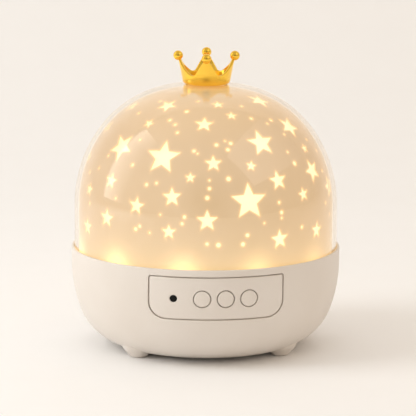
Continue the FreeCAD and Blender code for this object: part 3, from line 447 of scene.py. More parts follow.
def make_foot(name, x, y):
    """One foot, turned from its profile and set at its place."""
    spots, faces = lathe([(r * mm, z * mm) for r, z in foot_profile], foot_steps)
    spots = [(sx + x, sy + y, sz) for sx, sy, sz in spots]
    foot = piece(name + "_stub", [(spots, faces)], cream_plastic)
    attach(foot, "base")
    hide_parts(name)


for depth_word, y in (("front", -foot_y), ("rear", foot_y)):
    for side_word, x in (("left", -foot_x), ("right", foot_x)):
        make_foot(f"foot_{depth_word}_{side_word}", x, y)


# Control panel
# A curved fascia of the same plastic, a little smoother, sunk a hair below the skin. It has
# softened edges, three round holes for the buttons and a small one for the receiver.

panel_sink = 0.15 * mm
panel_back = 1.45 * mm
panel_edge = 0.48 * mm
button_height = 34.0 * mm
button_radius = 3.70 * mm
button_gap = 0.36 * mm
first_button, button_pitch = -6.3 * mm, 10.6 * mm
button_places = [first_button + button_pitch * i for i in range(3)]
hole_edge = 0.3 * mm
receiver_x = -19.0 * mm
receiver_radius = 1.6 * mm
receiver_gap = 0.05 * mm
panel_spacing = 1.2 * mm

panel_plastic = moulded(
    "panel_plastic", (0.81, 0.75, 0.69), (0.795, 0.73, 0.67), 0.36, bump=0.02, sheen=0.2
)


def round_outline(x, radius, steps=48):
    """A circle round a button's or the receiver's middle, as (x, z) from the front."""
    turns = [2 * math.pi * i / steps for i in range(steps)]
    return [(x + radius * math.cos(a), button_height + radius * math.sin(a)) for a in turns]


def rounded_rows(outline, edge, front, back):
    """Rows from the face over a softened edge to the back: outline(outset) gives each one."""
    rows = []
    for outset, depth in softened(edge, back - front):
        rows.append([on_bowl(x, z, front + depth) for x, z in outline(outset)])
    return rows


panel_rows = rounded_rows(lambda outset: panel_outline(-outset), panel_edge, panel_sink, panel_back)
hole_sizes = [(x, button_radius + button_gap) for x in button_places]
hole_sizes.append((receiver_x, receiver_radius + receiver_gap))
hole_rows = [
    rounded_rows(lambda outset, x=x, r=r: round_outline(x, r + outset), hole_edge, panel_sink, panel_back)
    for x, r in hole_sizes
]
grid = [
    (x, z)
    for x in np.arange(-panel_half_width, panel_half_width + panel_centre, panel_spacing)
    for z in np.arange(panel_bottom, panel_top, panel_spacing)
]
holes = [[(x, z) for x, _, z in rows[0]] for rows in hole_rows]
flat, flat_faces = cut_sheet(grid, holes, [(x, z) for x, _, z in panel_rows[0]])
face_spots = [on_bowl(x, z, panel_sink) for x, z in flat]
panel = piece(
    "control_panel_face",
    [(face_spots, flat_faces), loft(panel_rows)] + [loft(rows) for rows in hole_rows],
    panel_plastic,
)
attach(panel, "base")
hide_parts("control_panel")


# Push buttons and receiver window
# Three round caps with soft edges that follow the curve of the panel, each on a stem with a
# flange behind the panel, and one plug of black plastic that lets infrared light through.

button_edge, button_sink, button_length = 0.42 * mm, 0.05 * mm, 2.6 * mm
flange_depth, flange_thickness, flange_radius = 2.4 * mm, 1.0 * mm, 4.6 * mm
stem_radius = 2.4 * mm
window_edge, window_sink, window_length = 0.2 * mm, 0.25 * mm, 2.0 * mm
stem_steps = 32

button_plastic = moulded(
    "button_plastic", (0.81, 0.75, 0.69), (0.79, 0.725, 0.66), 0.34, bump=0.015, sheen=0.25
)
window_plastic = moulded("window_plastic", (0.004, 0.004, 0.004), (0.006, 0.005, 0.005), 0.25, bump=0.01)
window_plastic.node_tree.nodes["Principled BSDF"].inputs["Specular IOR Level"].default_value = 0.15


def cap_parts(x, radius, edge, sink, length, rings=8):
    """A round cap that follows the bowl: its face from the middle outwards, its edge and side."""
    reaches = [(radius - edge) * i / rings for i in range(1, rings)]
    rows = [[on_bowl(px, pz, sink) for px, pz in round_outline(x, reach)] for reach in reaches]
    for outset, depth in softened(edge, length):
        rows.append([on_bowl(px, pz, sink + depth) for px, pz in round_outline(x, radius - outset)])
    centre = on_bowl(x, button_height, sink)
    count = len(rows[0])
    hub = ([centre] + rows[0], [(0, i + 1, (i + 1) % count + 1) for i in range(count)])
    return [hub, loft(rows)]


def stem_part(node):
    """The flange and stem behind a cap. The CAD node's box gives their place and length."""
    low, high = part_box(node)
    x, back = (low[0] + high[0]) / 2, high[1]
    front = on_bowl(x, button_height, flange_depth)[1]
    step = front + flange_thickness
    section = [
        (0.0, front), (flange_radius, front), (flange_radius, step), (stem_radius, step),
        (stem_radius, back), (0.0, back),
    ]
    turns = [2 * math.pi * i / stem_steps for i in range(stem_steps)]
    return loft([
        [(x + r * math.cos(a), y, button_height + r * math.sin(a)) for a in turns] for r, y in section
    ])


for word, x in zip(("light", "colour", "motion"), button_places):
    cap = cap_parts(x, button_radius, button_edge, button_sink, button_length)
    button = piece(f"{word}_button_cap", cap + [stem_part(f"{word}_button")], button_plastic)
    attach(button, f"{word}_button")
    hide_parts(f"{word}_button")

window = piece(
    "receiver_window_plug",
    cap_parts(receiver_x, receiver_radius, window_edge, window_sink, window_length),
    window_plastic,
)
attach(window, "base")
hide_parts("receiver_window")


# Clear dome
# A thick shell of clear plastic, polished inside and out, that stands loose in the rim of the
# base. It bends what is seen through it, and its edge has a faint painted glow for the lamp inside.

dome_radius = 61.1 * mm
dome_wall = 1.8 * mm
dome_foot = 45.1 * mm
shoulder_height = 66.5 * mm
shoulder_arc, shoulder_angle = 60.0 * mm, math.radians(36.7)
upper_arc, upper_angle = 50.0 * mm, math.radians(80.5)


def dome_outline(depth, foot, step=0.7 * mm, hole=0.0):
    """Points (radius, height) of a dome layer from its pole down to its foot."""
    x1 = dome_radius - shoulder_arc
    x2 = x1 + (shoulder_arc - upper_arc) * math.cos(shoulder_angle)
    z2 = shoulder_height + (shoulder_arc - upper_arc) * math.sin(shoulder_angle)
    top_arc = upper_arc + x2 / math.cos(upper_angle)
    z3 = z2 - (top_arc - upper_arc) * math.sin(upper_angle)
    points = []
    start = math.acos(hole / (top_arc - depth))
    for cx, cz, radius, high, low in (
        (0.0, z3, top_arc - depth, start, upper_angle),
        (x2, z2, upper_arc - depth, upper_angle, shoulder_angle),
        (x1, shoulder_height, shoulder_arc - depth, shoulder_angle, 0.0),
    ):
        count = max(2, round(radius * (high - low) / step))
        for i in range(count):
            angle = high + (low - high) * i / count
            points.append((cx + radius * math.cos(angle), cz + radius * math.sin(angle)))
    count = max(2, round((shoulder_height - foot) / step))
    for i in range(count + 1):
        points.append((dome_radius - depth, shoulder_height + (foot - shoulder_height) * i / count))
    return points


def clear_plastic():
    """Clear plastic that bends what is seen through it and lets the light of the lamps pass; its edge glow
    is painted.
    """
    material, nodes, links, shader = new_material(
        "clear_plastic", Transmission_Weight=1.0, Roughness=0.0, IOR=1.46,
        Emission_Color=(1.0, 0.70, 0.38, 1),
    )
    edge = add_node(nodes, "LayerWeight", Blend=0.35)
    tint = colour_mix(nodes, (0.99, 0.98, 0.96), (0.985, 0.87, 0.74))
    # A faint warm glow painted on the edge where the shell is seen at a slant, for the lamp's light.
    lit_edge = add_node(nodes, "MapRange", From_Min=0.4, From_Max=1.0, To_Max=0.16)
    ray = add_node(nodes, "LightPath")
    either = add_node(nodes, "Math", "MAXIMUM")
    links.new(edge.outputs["Facing"], tint.inputs["Factor"])
    links.new(tint.outputs[2], shader.inputs["Base Color"])
    links.new(edge.outputs["Facing"], lit_edge.inputs["Value"])
    links.new(lit_edge.outputs["Result"], shader.inputs["Emission Strength"])
    links.new(ray.outputs["Is Shadow Ray"], either.inputs[0])
    links.new(ray.outputs["Is Diffuse Ray"], either.inputs[1])
    mix_with_clear(nodes, links, either.outputs[0], (0.985, 0.98, 0.97))
    return material


peg_hole = 1.6 * mm
dome_step, dome_steps = 1.0 * mm, 192
dome_skin = dome_outline(0.0, dome_foot, dome_step, peg_hole)
dome_inside = dome_outline(dome_wall, dome_foot, dome_step, peg_hole)[::-1]
dome_cover = piece(
    "dome_cover_shell", [lathe(dome_skin + dome_inside + dome_skin[:1], dome_steps)], clear_plastic()
)
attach(dome_cover, "dome")
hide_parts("dome_cover")


# Star mask
# A thin tan film dome inside the clear one, cut through with stars and dots. The lamp's light through
# it is painted: an even glow, a warm halo round each window, glow spots over the ring lamps at its foot,
# a wash along the foot and a brighter top. Stars and dots are listed as azimuth in degrees, drop below
# the dome's top and radius in mm, and turn.
# film_spread and dot_share fit them to the film. The glow spots lie a little past their lamps.

mask_depth = 2.15 * mm
mask_wall = 0.3 * mm
mask_foot = 44.4 * mm
dome_height = dome_outline(0.0, dome_foot)[0][1]
star_waist, star_side = 0.45, 0.62
film_spread = 0.982
dot_share = 0.85
halo_reach = 0.36 * mm
halo_rings = (0.16, 0.38, 0.75, 1.4)
film_spacing, film_steps = 2.4 * mm, 192
film_hem = 0.4 * mm
lamp_count = 11
lamp_azimuth = -16.9
glow_azimuth = -14.0
# Painted glow of the film: spots over the ring lamps, a wash up from the foot, a brighter top, over an even
# painted backlight.
glow_width, glow_rise = 0.40, 7.5
glow_share, glow_swing = 0.62, 0.38
wash_share, wash_rise = 0.28, 12.0
top_glow_share, top_from, top_run = 0.08, 55.0, 25.0
lit_film = (0.44, 0.285, 0.132)
front_stars = (
    (-27, 27.5, 7.9, 0), (-55, 25.5, 6.6, 30), (-54, 40.0, 3.4, 5), (-37, 49.0, 3.8, 5),
    (-20, 44.0, 4.1, -4), (-12, 35.5, 2.1, 0), (-21, 59.5, 3.1, 0), (-54, 56.5, 4.0, 4),
    (-70, 63.0, 3.8, 0), (-70, 46.0, 2.6, 6), (-40, 8.0, 4.2, 20), (-44, 15.0, 2.2, 15),
    (-6, 14.0, 4.0, 3), (-78, 10.5, 3.0, 40), (-82, 20.0, 3.2, 30), (-84, 33.5, 2.8, 10),
    (-1, 29.5, 3.6, 0), (15, 46.0, 8.2, 0), (27, 22.0, 6.4, -1), (31, 38.0, 4.3, -3),
    (30, 64.0, 4.3, -3), (18, 31.0, 2.2, 14), (14, 11.0, 2.2, 10), (6, 7.0, 2.4, 0),
    (53, 7.0, 5.0, -25), (55, 17.5, 5.4, -32), (57, 27.0, 2.0, 0), (56, 36.5, 5.2, -16),
    (45, 45.5, 2.9, -6), (54, 63.0, 3.7, 4), (70, 45.5, 4.6, -12), (-4, 54.0, 4.6, 0),
)
front_dots = (
    (-33, 39.5, 0.8), (-28, 38.5, 0.6), (-11, 24.5, 0.8), (-14, 52.5, 0.8), (-15, 55.5, 0.7),
    (-37, 59.5, 0.9), (-35, 58.0, 0.7), (-43, 32.0, 0.8), (-4, 44.0, 1.0), (-3, 40.0, 0.8),
    (-25, 14.5, 0.7), (-22, 17.5, 0.7), (-30, 13.0, 0.8), (-20, 9.5, 1.0), (-4, 64.5, 0.7),
    (1, 65.0, 1.1), (1, 22.0, 0.9), (9, 21.5, 0.9), (7, 24.0, 0.9), (6, 36.0, 1.1),
    (44, 32.0, 1.1), (43, 14.0, 0.8), (28, 12.5, 0.8), (30, 47.5, 0.7), (31, 52.0, 0.9),
    (43, 60.0, 0.8), (14, 61.0, 0.9), (12, 65.0, 1.0),
)
fine_dots = (
    (-30, 60.5, 0.45), (-49, 47.0, 0.5), (-3, 36.5, 0.45), (-44, 21.5, 0.5), (-13, 6.0, 0.5),
    (46, 20.0, 0.5), (38, 15.0, 0.45), (31, 54.5, 0.45), (42, 27.0, 0.45), (27, 8.0, 0.5),
    (-62, 30.0, 0.5), (-66, 36.0, 0.45), (-9, 25.5, 0.4), (6, 20.5, 0.35), (66, 38.0, 0.5),
    (-60, 12.0, 0.6), (-52, 7.0, 0.55), (64, 24.0, 0.5), (69, 29.5, 0.45), (-74, 39.0, 0.5),
    (-68, 52.0, 0.5), (63, 52.0, 0.5), (68, 58.0, 0.45), (-25, 52.0, 0.4), (22, 56.0, 0.4),
)
row_drops = (66.0, 50.0, 34.0, 19.0)
row_radii = ((4.4, 3.2, 5.0), (6.6, 2.6, 4.2), (4.0, 5.6, 2.4), (3.4, 4.6))
row_step, row_stagger, row_shift = 27.0, 11.0, 2.5
row_turn, row_turns = 9.0, 5
row_from, row_to = 96.0, 274.0


def back_stars():
    """Stars on the sides and back, row by row."""
    stars = []
    for row, (drop, radii) in enumerate(zip(row_drops, row_radii)):
        azimuth, n = row_from + row_stagger * (row % 2), 0
        while azimuth < row_to:
            shift = row_shift * (-1) ** n
            turn = row_turn * (n % row_turns - row_turns // 2)
            stars.append((azimuth, drop - shift, radii[n % len(radii)], turn))
            azimuth += row_step
            n += 1
    return stars


film = Section(dome_outline(mask_depth, mask_foot))


def star_spots(radius, turn, step=0.55 * mm):
    """A five-pointed star's outline round the origin, its sides cut in even steps."""
    per_side = max(3, round(star_side * radius / step))
    tips = []
    for i in range(10):
        reach = radius if i % 2 == 0 else radius * star_waist
        angle = math.pi / 2 + math.pi * i / 5 - math.radians(turn)
        tips.append((reach * math.cos(angle), reach * math.sin(angle)))
    spots = []
    for a, b in zip(tips, tips[1:] + tips[:1]):
        for i in range(per_side):
            t = i / per_side
            spots.append((a[0] + (b[0] - a[0]) * t, a[1] + (b[1] - a[1]) * t))
    return spots


def on_film(azimuth, drop, spots):
    """Spots round a centre on the film, as (azimuth, distance along the section)."""
    centre = film.by_height(dome_height - drop)
    placed = []
    for across, up in spots:
        distance = centre - up
        placed.append((math.radians(azimuth) + across / float(film.at(distance)[0]), distance))
    return placed


def dot_spots(radius, steps=14):
    """A round dot's outline round the origin."""
    turns = [2 * math.pi * i / steps for i in range(steps)]
    return [(radius * math.cos(a), radius * math.sin(a)) for a in turns]


windows = [
    on_film(film_spread * azimuth, drop * mm, star_spots(radius * mm, turn))
    for azimuth, drop, radius, turn in front_stars + tuple(back_stars())
]
windows += [
    on_film(film_spread * azimuth, drop * mm, dot_spots(dot_share * radius * mm))
    for azimuth, drop, radius in front_dots + fine_dots
]


def round_windows():
    """Extra points outside each window's edge, so that its halo has a fine mesh to fade over."""
    spots = []
    for loop in windows:
        count = len(loop)
        width = float(film.at(sum(s for _, s in loop) / count)[0])
        flat = [(a * width, s) for a, s in loop]
        for (x0, s0), (x1, s1), (x2, s2) in zip(flat, flat[1:] + flat[:1], flat[2:] + flat[:2]):
            run, rise = x2 - x0, s2 - s0
            length = math.hypot(run, rise) or 1.0
            for step in halo_rings:
                x = x1 - step * mm * rise / length
                s = s1 + step * mm * run / length
                if s < film.length - film_hem:
                    spots.append((s * math.sin(x / width), -s * math.cos(x / width)))
    return spots


def halo_and_glow(mesh):
    """Stores, per point, the painted halo round the windows and the painted glow of the ring lamps, foot
    and top.
    """
    edge_spots = []
    for loop in windows:
        for a, s in loop:
            radius, height = (float(v) for v in film.at(s))
            edge_spots.append((radius * math.sin(a), -radius * math.cos(a), height))
    tree = kdtree.KDTree(len(edge_spots))
    for i, spot in enumerate(edge_spots):
        tree.insert(spot, i)
    tree.balance()
    halo = mesh.attributes.new("halo", "FLOAT", "POINT")
    glow = mesh.attributes.new("lamp_glow", "FLOAT", "POINT")
    for i, vert in enumerate(mesh.vertices):
        distance = tree.find(vert.co)[2]
        halo.data[i].value = math.exp(-distance / halo_reach)
        azimuth = math.degrees(math.atan2(vert.co.x, -vert.co.y)) - glow_azimuth
        step = 360 / lamp_count
        off = abs((azimuth + step / 2) % step - step / 2) / (step / 2)
        rise = (vert.co.z - mask_foot) / mm
        # Painted glow: spots over the ring lamps, stronger on the left, a wash up from the foot and a
        # brighter top.
        share = glow_share - glow_swing * math.sin(math.radians(azimuth + glow_azimuth))
        spot = share * math.exp(-((off / glow_width) ** 2) - (rise / glow_rise) ** 2)
        wash = wash_share * math.exp(-rise / wash_rise)
        top = top_glow_share * max(0.0, (rise - top_from) / top_run)
        glow.data[i].value = spot + wash + top


def film_material():
    """Tan film: a matt skin with painted light from behind, warmer round the windows and over the ring
    lamps.
    """
    material = moulded("star_film", (0.38, 0.32, 0.26), (0.35, 0.29, 0.23), 0.5, 1400.0, 0.02)
    nodes, links = material.node_tree.nodes, material.node_tree.links
    shader = nodes["Principled BSDF"]
    total = None
    for name, colour in (("halo", (0.60, 0.36, 0.12)), ("lamp_glow", (1.05, 0.78, 0.32))):
        value = add_node(nodes, "Attribute")
        value.attribute_name = name
        tinted = add_node(nodes, "VectorMath", "SCALE")
        tinted.inputs[0].default_value = colour
        added = add_node(nodes, "VectorMath", "ADD")
        added.inputs[0].default_value = lit_film
        links.new(value.outputs["Fac"], tinted.inputs["Scale"])
        if total:
            links.new(total, added.inputs[0])
        links.new(tinted.outputs["Vector"], added.inputs[1])
        total = added.outputs["Vector"]
    links.new(total, shader.inputs["Emission Color"])
    shader.inputs["Emission Strength"].default_value = 1.0
    return material


film_sheet = turned_sheet(film, windows, film_spacing, film_steps, round_windows())
star_mask = piece("star_mask_film", [film_sheet], film_material())
halo_and_glow(star_mask.data)
wall = star_mask.modifiers.new("wall", "SOLIDIFY")
wall.thickness = mask_wall
wall.offset = -1.0
bpy.context.view_layer.update()
evaluated = bpy.context.evaluated_depsgraph_get()
star_mask.data = bpy.data.meshes.new_from_object(
    star_mask.evaluated_get(evaluated), preserve_all_data_layers=True, depsgraph=evaluated
)
star_mask.modifiers.clear()
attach(star_mask, "star_dome")
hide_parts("star_mask")


# Frosted dome
# A milky inner dome that the film lies on. It spreads the light of the lamp, painted on as an even
# glow, so it is evenly bright wherever a window shows it.

frosted = moulded("frosted_plastic", (0.30, 0.28, 0.22), (0.28, 0.26, 0.2), 0.6, 900.0, 0.02)
frosted_shader = frosted.node_tree.nodes["Principled BSDF"]
# Painted glow, for the lamp's light spread through the dome.
frosted_shader.inputs["Emission Color"].default_value = (1.0, 0.94, 0.60, 1)
frosted_shader.inputs["Emission Strength"].default_value = 1.0


def repaint(node, material):
    """Gives a CAD node one material in all its slots."""
    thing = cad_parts[node]
    if not thing.material_slots:
        thing.data.materials.append(material)
    for place in thing.material_slots:
        place.material = material


repaint("frosted_dome", frosted)


# Crown
# A small flared cup of gold-plated plastic, cut into four points, with a rounded foot, soft
# edges and a ball on every point. Its peg goes down through the top of the dome.

crown_radius = 10.8 * mm
crown_flare = 0.19
crown_wall = 1.3 * mm
crown_floor = 2.0 * mm
crown_foot_arc = 2.1 * mm
crown_seat = 0.5 * mm
crown_valley = 5.0 * mm
crown_tip = 11.8 * mm
crown_tip_half = 1.3 * mm
crown_valley_angle = math.radians(33.0)
crown_valley_arc = 1.8 * mm
crown_turn = math.radians(-4.6)
crown_edge = 0.42 * mm
ball_radius = 2.25 * mm
ball_circle = 13.1 * mm
ball_height = 13.2 * mm
ball_segments, ball_rings = 48, 28
peg_radius, peg_bevel, peg_end, peg_bite = 1.5 * mm, 0.2 * mm, 120.9 * mm, 0.4 * mm
peg_steps = 32
crown_lean = math.atan(crown_flare)
crown_tangent = crown_foot_arc * math.tan((math.pi / 2 - crown_lean) / 2)
crown_bottom = dome_outline(0.0, dome_foot)[0][1] - crown_seat


def point_height(half, across):
    """Height of one crown point's outline at a distance from its middle line."""
    across = abs(across)
    if across <= crown_tip_half:
        return crown_tip
    if across >= half:
        return 0.0
    centre_x, centre_z = half, crown_valley + crown_valley_arc
    run, rise = crown_tip_half - centre_x, crown_tip - centre_z
    far = math.hypot(run, rise)
    angle = math.atan2(rise, run) + math.acos(crown_valley_arc / far)
    touch_x = centre_x + crown_valley_arc * math.cos(angle)
    touch_z = centre_z + crown_valley_arc * math.sin(angle)
    if across >= touch_x:
        return centre_z - math.sqrt(max(0.0, crown_valley_arc**2 - (centre_x - across) ** 2))
    share = (touch_x - across) / (touch_x - crown_tip_half)
    return touch_z + (crown_tip - touch_z) * share


def crown_top(angle):
    """Height of the crown's edge at an angle from its front point."""
    valley = crown_radius + crown_flare * crown_valley
    reach = crown_radius + crown_flare * 0.6 * crown_tip
    x, y = reach * math.sin(angle), reach * math.cos(angle)
    front = point_height(valley * math.sin(crown_valley_angle) * reach / valley, x)
    side = point_height(valley * math.cos(crown_valley_angle) * reach / valley, y)
    return max(crown_valley, front, side)


def crown_spot(stretch, t, top):
    """Radius and height on the crown's section, a share t along one stretch, for an edge height."""
    foot_height = crown_foot_arc * (1 - math.sin(crown_lean))
    edge_height = top - crown_edge
    if stretch == "foot":
        turn = (math.pi / 2 - crown_lean) * t
        reach = crown_radius - crown_tangent + crown_foot_arc * math.sin(turn)
        return reach, crown_foot_arc * (1 - math.cos(turn))
    if stretch == "outside":
        z = foot_height + (edge_height - foot_height) * t
        return crown_radius + crown_flare * z, z
    if stretch == "edge":
        z = edge_height + crown_edge * math.sin(math.pi * t)
        return crown_radius + crown_flare * z - crown_wall / 2 * (1 - math.cos(math.pi * t)), z
    if stretch == "inside":
        z = edge_height + (crown_floor - edge_height) * t
        return crown_radius + crown_flare * z - crown_wall, z
    return (crown_radius + crown_flare * crown_floor - crown_wall) * (1 - t), crown_floor


def crown_rows(count=240):
    """Rows from under the foot, up the outside, over the edge and down inside to the floor."""
    angles = [2 * math.pi * j / count for j in range(count)]
    tops = [crown_top(a) for a in angles]
    rows = [[(0.0, 0.0, crown_bottom)] * count]
    for stretch, steps in (("foot", 7), ("outside", 9), ("edge", 8), ("inside", 8), ("floor", 3)):
        for i in range(steps):
            between = stretch in ("outside", "inside")
            t = (i + 1) / (steps + 1) if between else i / (steps - 1)
            row = []
            for a, top in zip(angles, tops):
                r, z = crown_spot(stretch, t, top)
                row.append((r * math.sin(a + crown_turn), -r * math.cos(a + crown_turn), crown_bottom + z))
            rows.append(row)
    return rows


def gold_plating():
    """Polished gold plate with a trace of orange peel, a few soft smudges and a faint painted glow."""
    # A faint painted orange glow lightens the whole plate, standing in for light it mirrors.
    material, nodes, links, shader = new_material(
        "gold_plate", Metallic=1.0, Emission_Color=(1.0, 0.56, 0.06, 1), Emission_Strength=0.12
    )
    place = add_node(nodes, "TexCoord")
    smudge = add_node(nodes, "TexNoise", Scale=160.0, Detail=4.0)
    rough = add_node(nodes, "MapRange", To_Min=0.07, To_Max=0.17)
    tint = colour_mix(nodes, (0.93, 0.60, 0.09), (0.89, 0.54, 0.06))
    peel = add_node(nodes, "TexNoise", Scale=700.0)
    raised = add_node(nodes, "Bump", Strength=0.03, Distance=0.2 * mm)
    links.new(place.outputs["Object"], smudge.inputs["Vector"])
    links.new(place.outputs["Object"], peel.inputs["Vector"])
    links.new(smudge.outputs["Fac"], rough.inputs["Value"])
    links.new(smudge.outputs["Fac"], tint.inputs["Factor"])
    links.new(rough.outputs["Result"], shader.inputs["Roughness"])
    links.new(tint.outputs[2], shader.inputs["Base Color"])
    links.new(peel.outputs["Fac"], raised.inputs["Height"])
    links.new(raised.outputs["Normal"], shader.inputs["Normal"])
    return material


gold_plate = gold_plating()
peg = lathe(
    [
        (0.0, peg_end), (peg_radius - peg_bevel, peg_end), (peg_radius, peg_end + peg_bevel),
        (peg_radius, crown_bottom + peg_bite),
    ],
    peg_steps,
)
crown = piece("crown_cup", [loft(crown_rows()), peg], gold_plate)
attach(crown, "dome")
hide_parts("crown")


def set_inputs(modifier, tree, values):
    """Sets a modifier's named inputs by their sockets' identifiers."""
    for item in tree.interface.items_tree:
        if item.item_type == "SOCKET" and item.in_out == "INPUT" and item.name in values:
            modifier[item.identifier] = values[item.name]


def ring_tree(name, size, make_unit):
    """A node tree that sets one small unit at even turns round Z and turns it to face outwards."""
    tree = bpy.data.node_groups.new(name, "GeometryNodeTree")
    tree.interface.new_socket("Geometry", in_out="INPUT", socket_type="NodeSocketGeometry")
    tree.interface.new_socket("Geometry", in_out="OUTPUT", socket_type="NodeSocketGeometry")
    for socket, kind in (
        ("Count", "Int"), ("Circle", "Float"), ("Start", "Float"), (size, "Float"), ("Finish", "Material"),
    ):
        tree.interface.new_socket(socket, in_out="INPUT", socket_type="NodeSocket" + kind)
    nodes, links = tree.nodes, tree.links
    start, end = nodes.new("NodeGroupInput"), nodes.new("NodeGroupOutput")
    circle = nodes.new("GeometryNodeMeshCircle")
    unit = make_unit(tree, start)
    on_points = nodes.new("GeometryNodeInstanceOnPoints")
    index = nodes.new("GeometryNodeInputIndex")
    step = add_node(nodes, "Math", "DIVIDE")
    step.inputs[0].default_value = 2 * math.pi
    angle = add_node(nodes, "Math", "MULTIPLY")
    facing, whole_turn = add_node(nodes, "CombineXYZ"), add_node(nodes, "CombineXYZ")
    turned = nodes.new("GeometryNodeTransform")
    realize = nodes.new("GeometryNodeRealizeInstances")
    finish = nodes.new("GeometryNodeSetMaterial")
    links.new(start.outputs["Count"], circle.inputs["Vertices"])
    links.new(start.outputs["Circle"], circle.inputs["Radius"])
    links.new(circle.outputs["Mesh"], on_points.inputs["Points"])
    links.new(unit, on_points.inputs["Instance"])
    links.new(start.outputs["Count"], step.inputs[1])
    links.new(index.outputs["Index"], angle.inputs[0])
    links.new(step.outputs[0], angle.inputs[1])
    links.new(angle.outputs[0], facing.inputs["Z"])
    links.new(facing.outputs["Vector"], on_points.inputs["Rotation"])
    links.new(on_points.outputs["Instances"], realize.inputs["Geometry"])
    links.new(realize.outputs["Geometry"], turned.inputs["Geometry"])
    links.new(start.outputs["Start"], whole_turn.inputs["Z"])
    links.new(whole_turn.outputs["Vector"], turned.inputs["Rotation"])
    links.new(turned.outputs["Geometry"], finish.inputs["Geometry"])
    links.new(start.outputs["Finish"], finish.inputs["Material"])
    links.new(finish.outputs["Geometry"], end.inputs["Geometry"])
    return tree


def grown(name, tree, values, height, smooth=True):
    """Runs a node tree once and keeps its result as a plain mesh at a height."""
    seed = bpy.data.objects.new(name + "_seed", bpy.data.meshes.new(name + "_seed"))
    bpy.context.scene.collection.objects.link(seed)
    modifier = seed.modifiers.new("ring", "NODES")
    modifier.node_group = tree
    set_inputs(modifier, tree, values)
    bpy.context.view_layer.update()
    mesh = bpy.data.meshes.new_from_object(seed.evaluated_get(bpy.context.evaluated_depsgraph_get()))
    bpy.data.objects.remove(seed)
    mesh.name = name
    for vert in mesh.vertices:
        vert.co.z += height
    mesh.polygons.foreach_set("use_smooth", [smooth] * len(mesh.polygons))
    made = bpy.data.objects.new(name, mesh)
    bpy.context.scene.collection.objects.link(made)
    return made


def ball_unit(tree, start):
    """One ball, as the unit of a ring."""
    ball = tree.nodes.new("GeometryNodeMeshUVSphere")
    ball.inputs["Segments"].default_value = ball_segments
    ball.inputs["Rings"].default_value = ball_rings
    tree.links.new(start.outputs["Ball Radius"], ball.inputs["Radius"])
    return ball.outputs["Mesh"]


crown_balls = grown(
    "crown_balls", ring_tree("balls_on_points", "Ball Radius", ball_unit),
    {
        "Count": 4, "Circle": ball_circle, "Start": crown_turn, "Ball Radius": ball_radius,
        "Finish": gold_plate,
    },
    crown_bottom + ball_height,
)
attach(crown_balls, "dome")


# Ring lamps
# Small white surface lamps soldered round a ring board, each with a yellow lens on top.

lamp_circle = 44.0 * mm
lamp_depth, lamp_width, lamp_height = 2.8 * mm, 3.5 * mm, 1.2 * mm
lens_radius, lens_lift = 1.1 * mm, 0.25 * mm
quarter_turn = 90


def lamp_unit(tree, start):
    """One surface lamp, a flat block with a round lens, as the unit of a ring."""
    body = tree.nodes.new("GeometryNodeMeshCube")
    body.inputs["Size"].default_value = (lamp_depth, lamp_width, lamp_height)
    lens = tree.nodes.new("GeometryNodeMeshUVSphere")
    lens.inputs["Segments"].default_value = 20
    lens.inputs["Rings"].default_value = 10
    tree.links.new(start.outputs["Lens Radius"], lens.inputs["Radius"])
    raised = tree.nodes.new("GeometryNodeTransform")
    raised.inputs["Translation"].default_value = (0.0, 0.0, lens_lift)
    both = tree.nodes.new("GeometryNodeJoinGeometry")
    tree.links.new(lens.outputs["Mesh"], raised.inputs["Geometry"])
    tree.links.new(body.outputs["Mesh"], both.inputs["Geometry"])
    tree.links.new(raised.outputs["Geometry"], both.inputs["Geometry"])
    return both.outputs["Geometry"]


lamp_plastic = moulded("lamp_plastic", (1.0, 0.86, 0.5), (1.0, 0.8, 0.42), 0.25, light=1.2)
lamp_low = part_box("ring_lamps")[0]
ring_lamps = grown(
    "ring_lamps_lit", ring_tree("lamps_round_board", "Lens Radius", lamp_unit),
    {
        "Count": lamp_count, "Circle": lamp_circle, "Start": math.radians(lamp_azimuth - quarter_turn),
        "Lens Radius": lens_radius, "Finish": lamp_plastic,
    },
    lamp_low[2] + lamp_height / 2, smooth=False,
)
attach(ring_lamps, "base")
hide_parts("ring_lamps")


# Pieces inside
# Deck, gears, motor, boards, battery, leads and screws keep their CAD shape. Each gets the
# finish of what it is made of: moulded plastic, steel, circuit board or brass.


def metal(name, colour, roughness, stretch=(1, 1, 1), scale=900.0):
    """Plain metal with fine brush marks along one way."""
    material, nodes, links, shader = new_material(name, Metallic=1.0)
    place = add_node(nodes, "TexCoord")
    along = add_node(nodes, "Mapping", Scale=stretch)
    marks = add_node(nodes, "TexNoise", Scale=scale, Detail=5.0)
    rough = add_node(nodes, "MapRange", To_Min=roughness - 0.08, To_Max=roughness + 0.12)
    tint = colour_mix(nodes, colour, [c * 0.78 for c in colour])
    raised = add_node(nodes, "Bump", Strength=0.1, Distance=0.1 * mm)
    links.new(place.outputs["Object"], along.inputs["Vector"])
    links.new(along.outputs["Vector"], marks.inputs["Vector"])
    links.new(marks.outputs["Fac"], rough.inputs["Value"])
    links.new(marks.outputs["Fac"], tint.inputs["Factor"])
    links.new(marks.outputs["Fac"], raised.inputs["Height"])
    links.new(rough.outputs["Result"], shader.inputs["Roughness"])
    links.new(tint.outputs[2], shader.inputs["Base Color"])
    links.new(raised.outputs["Normal"], shader.inputs["Normal"])
    return material


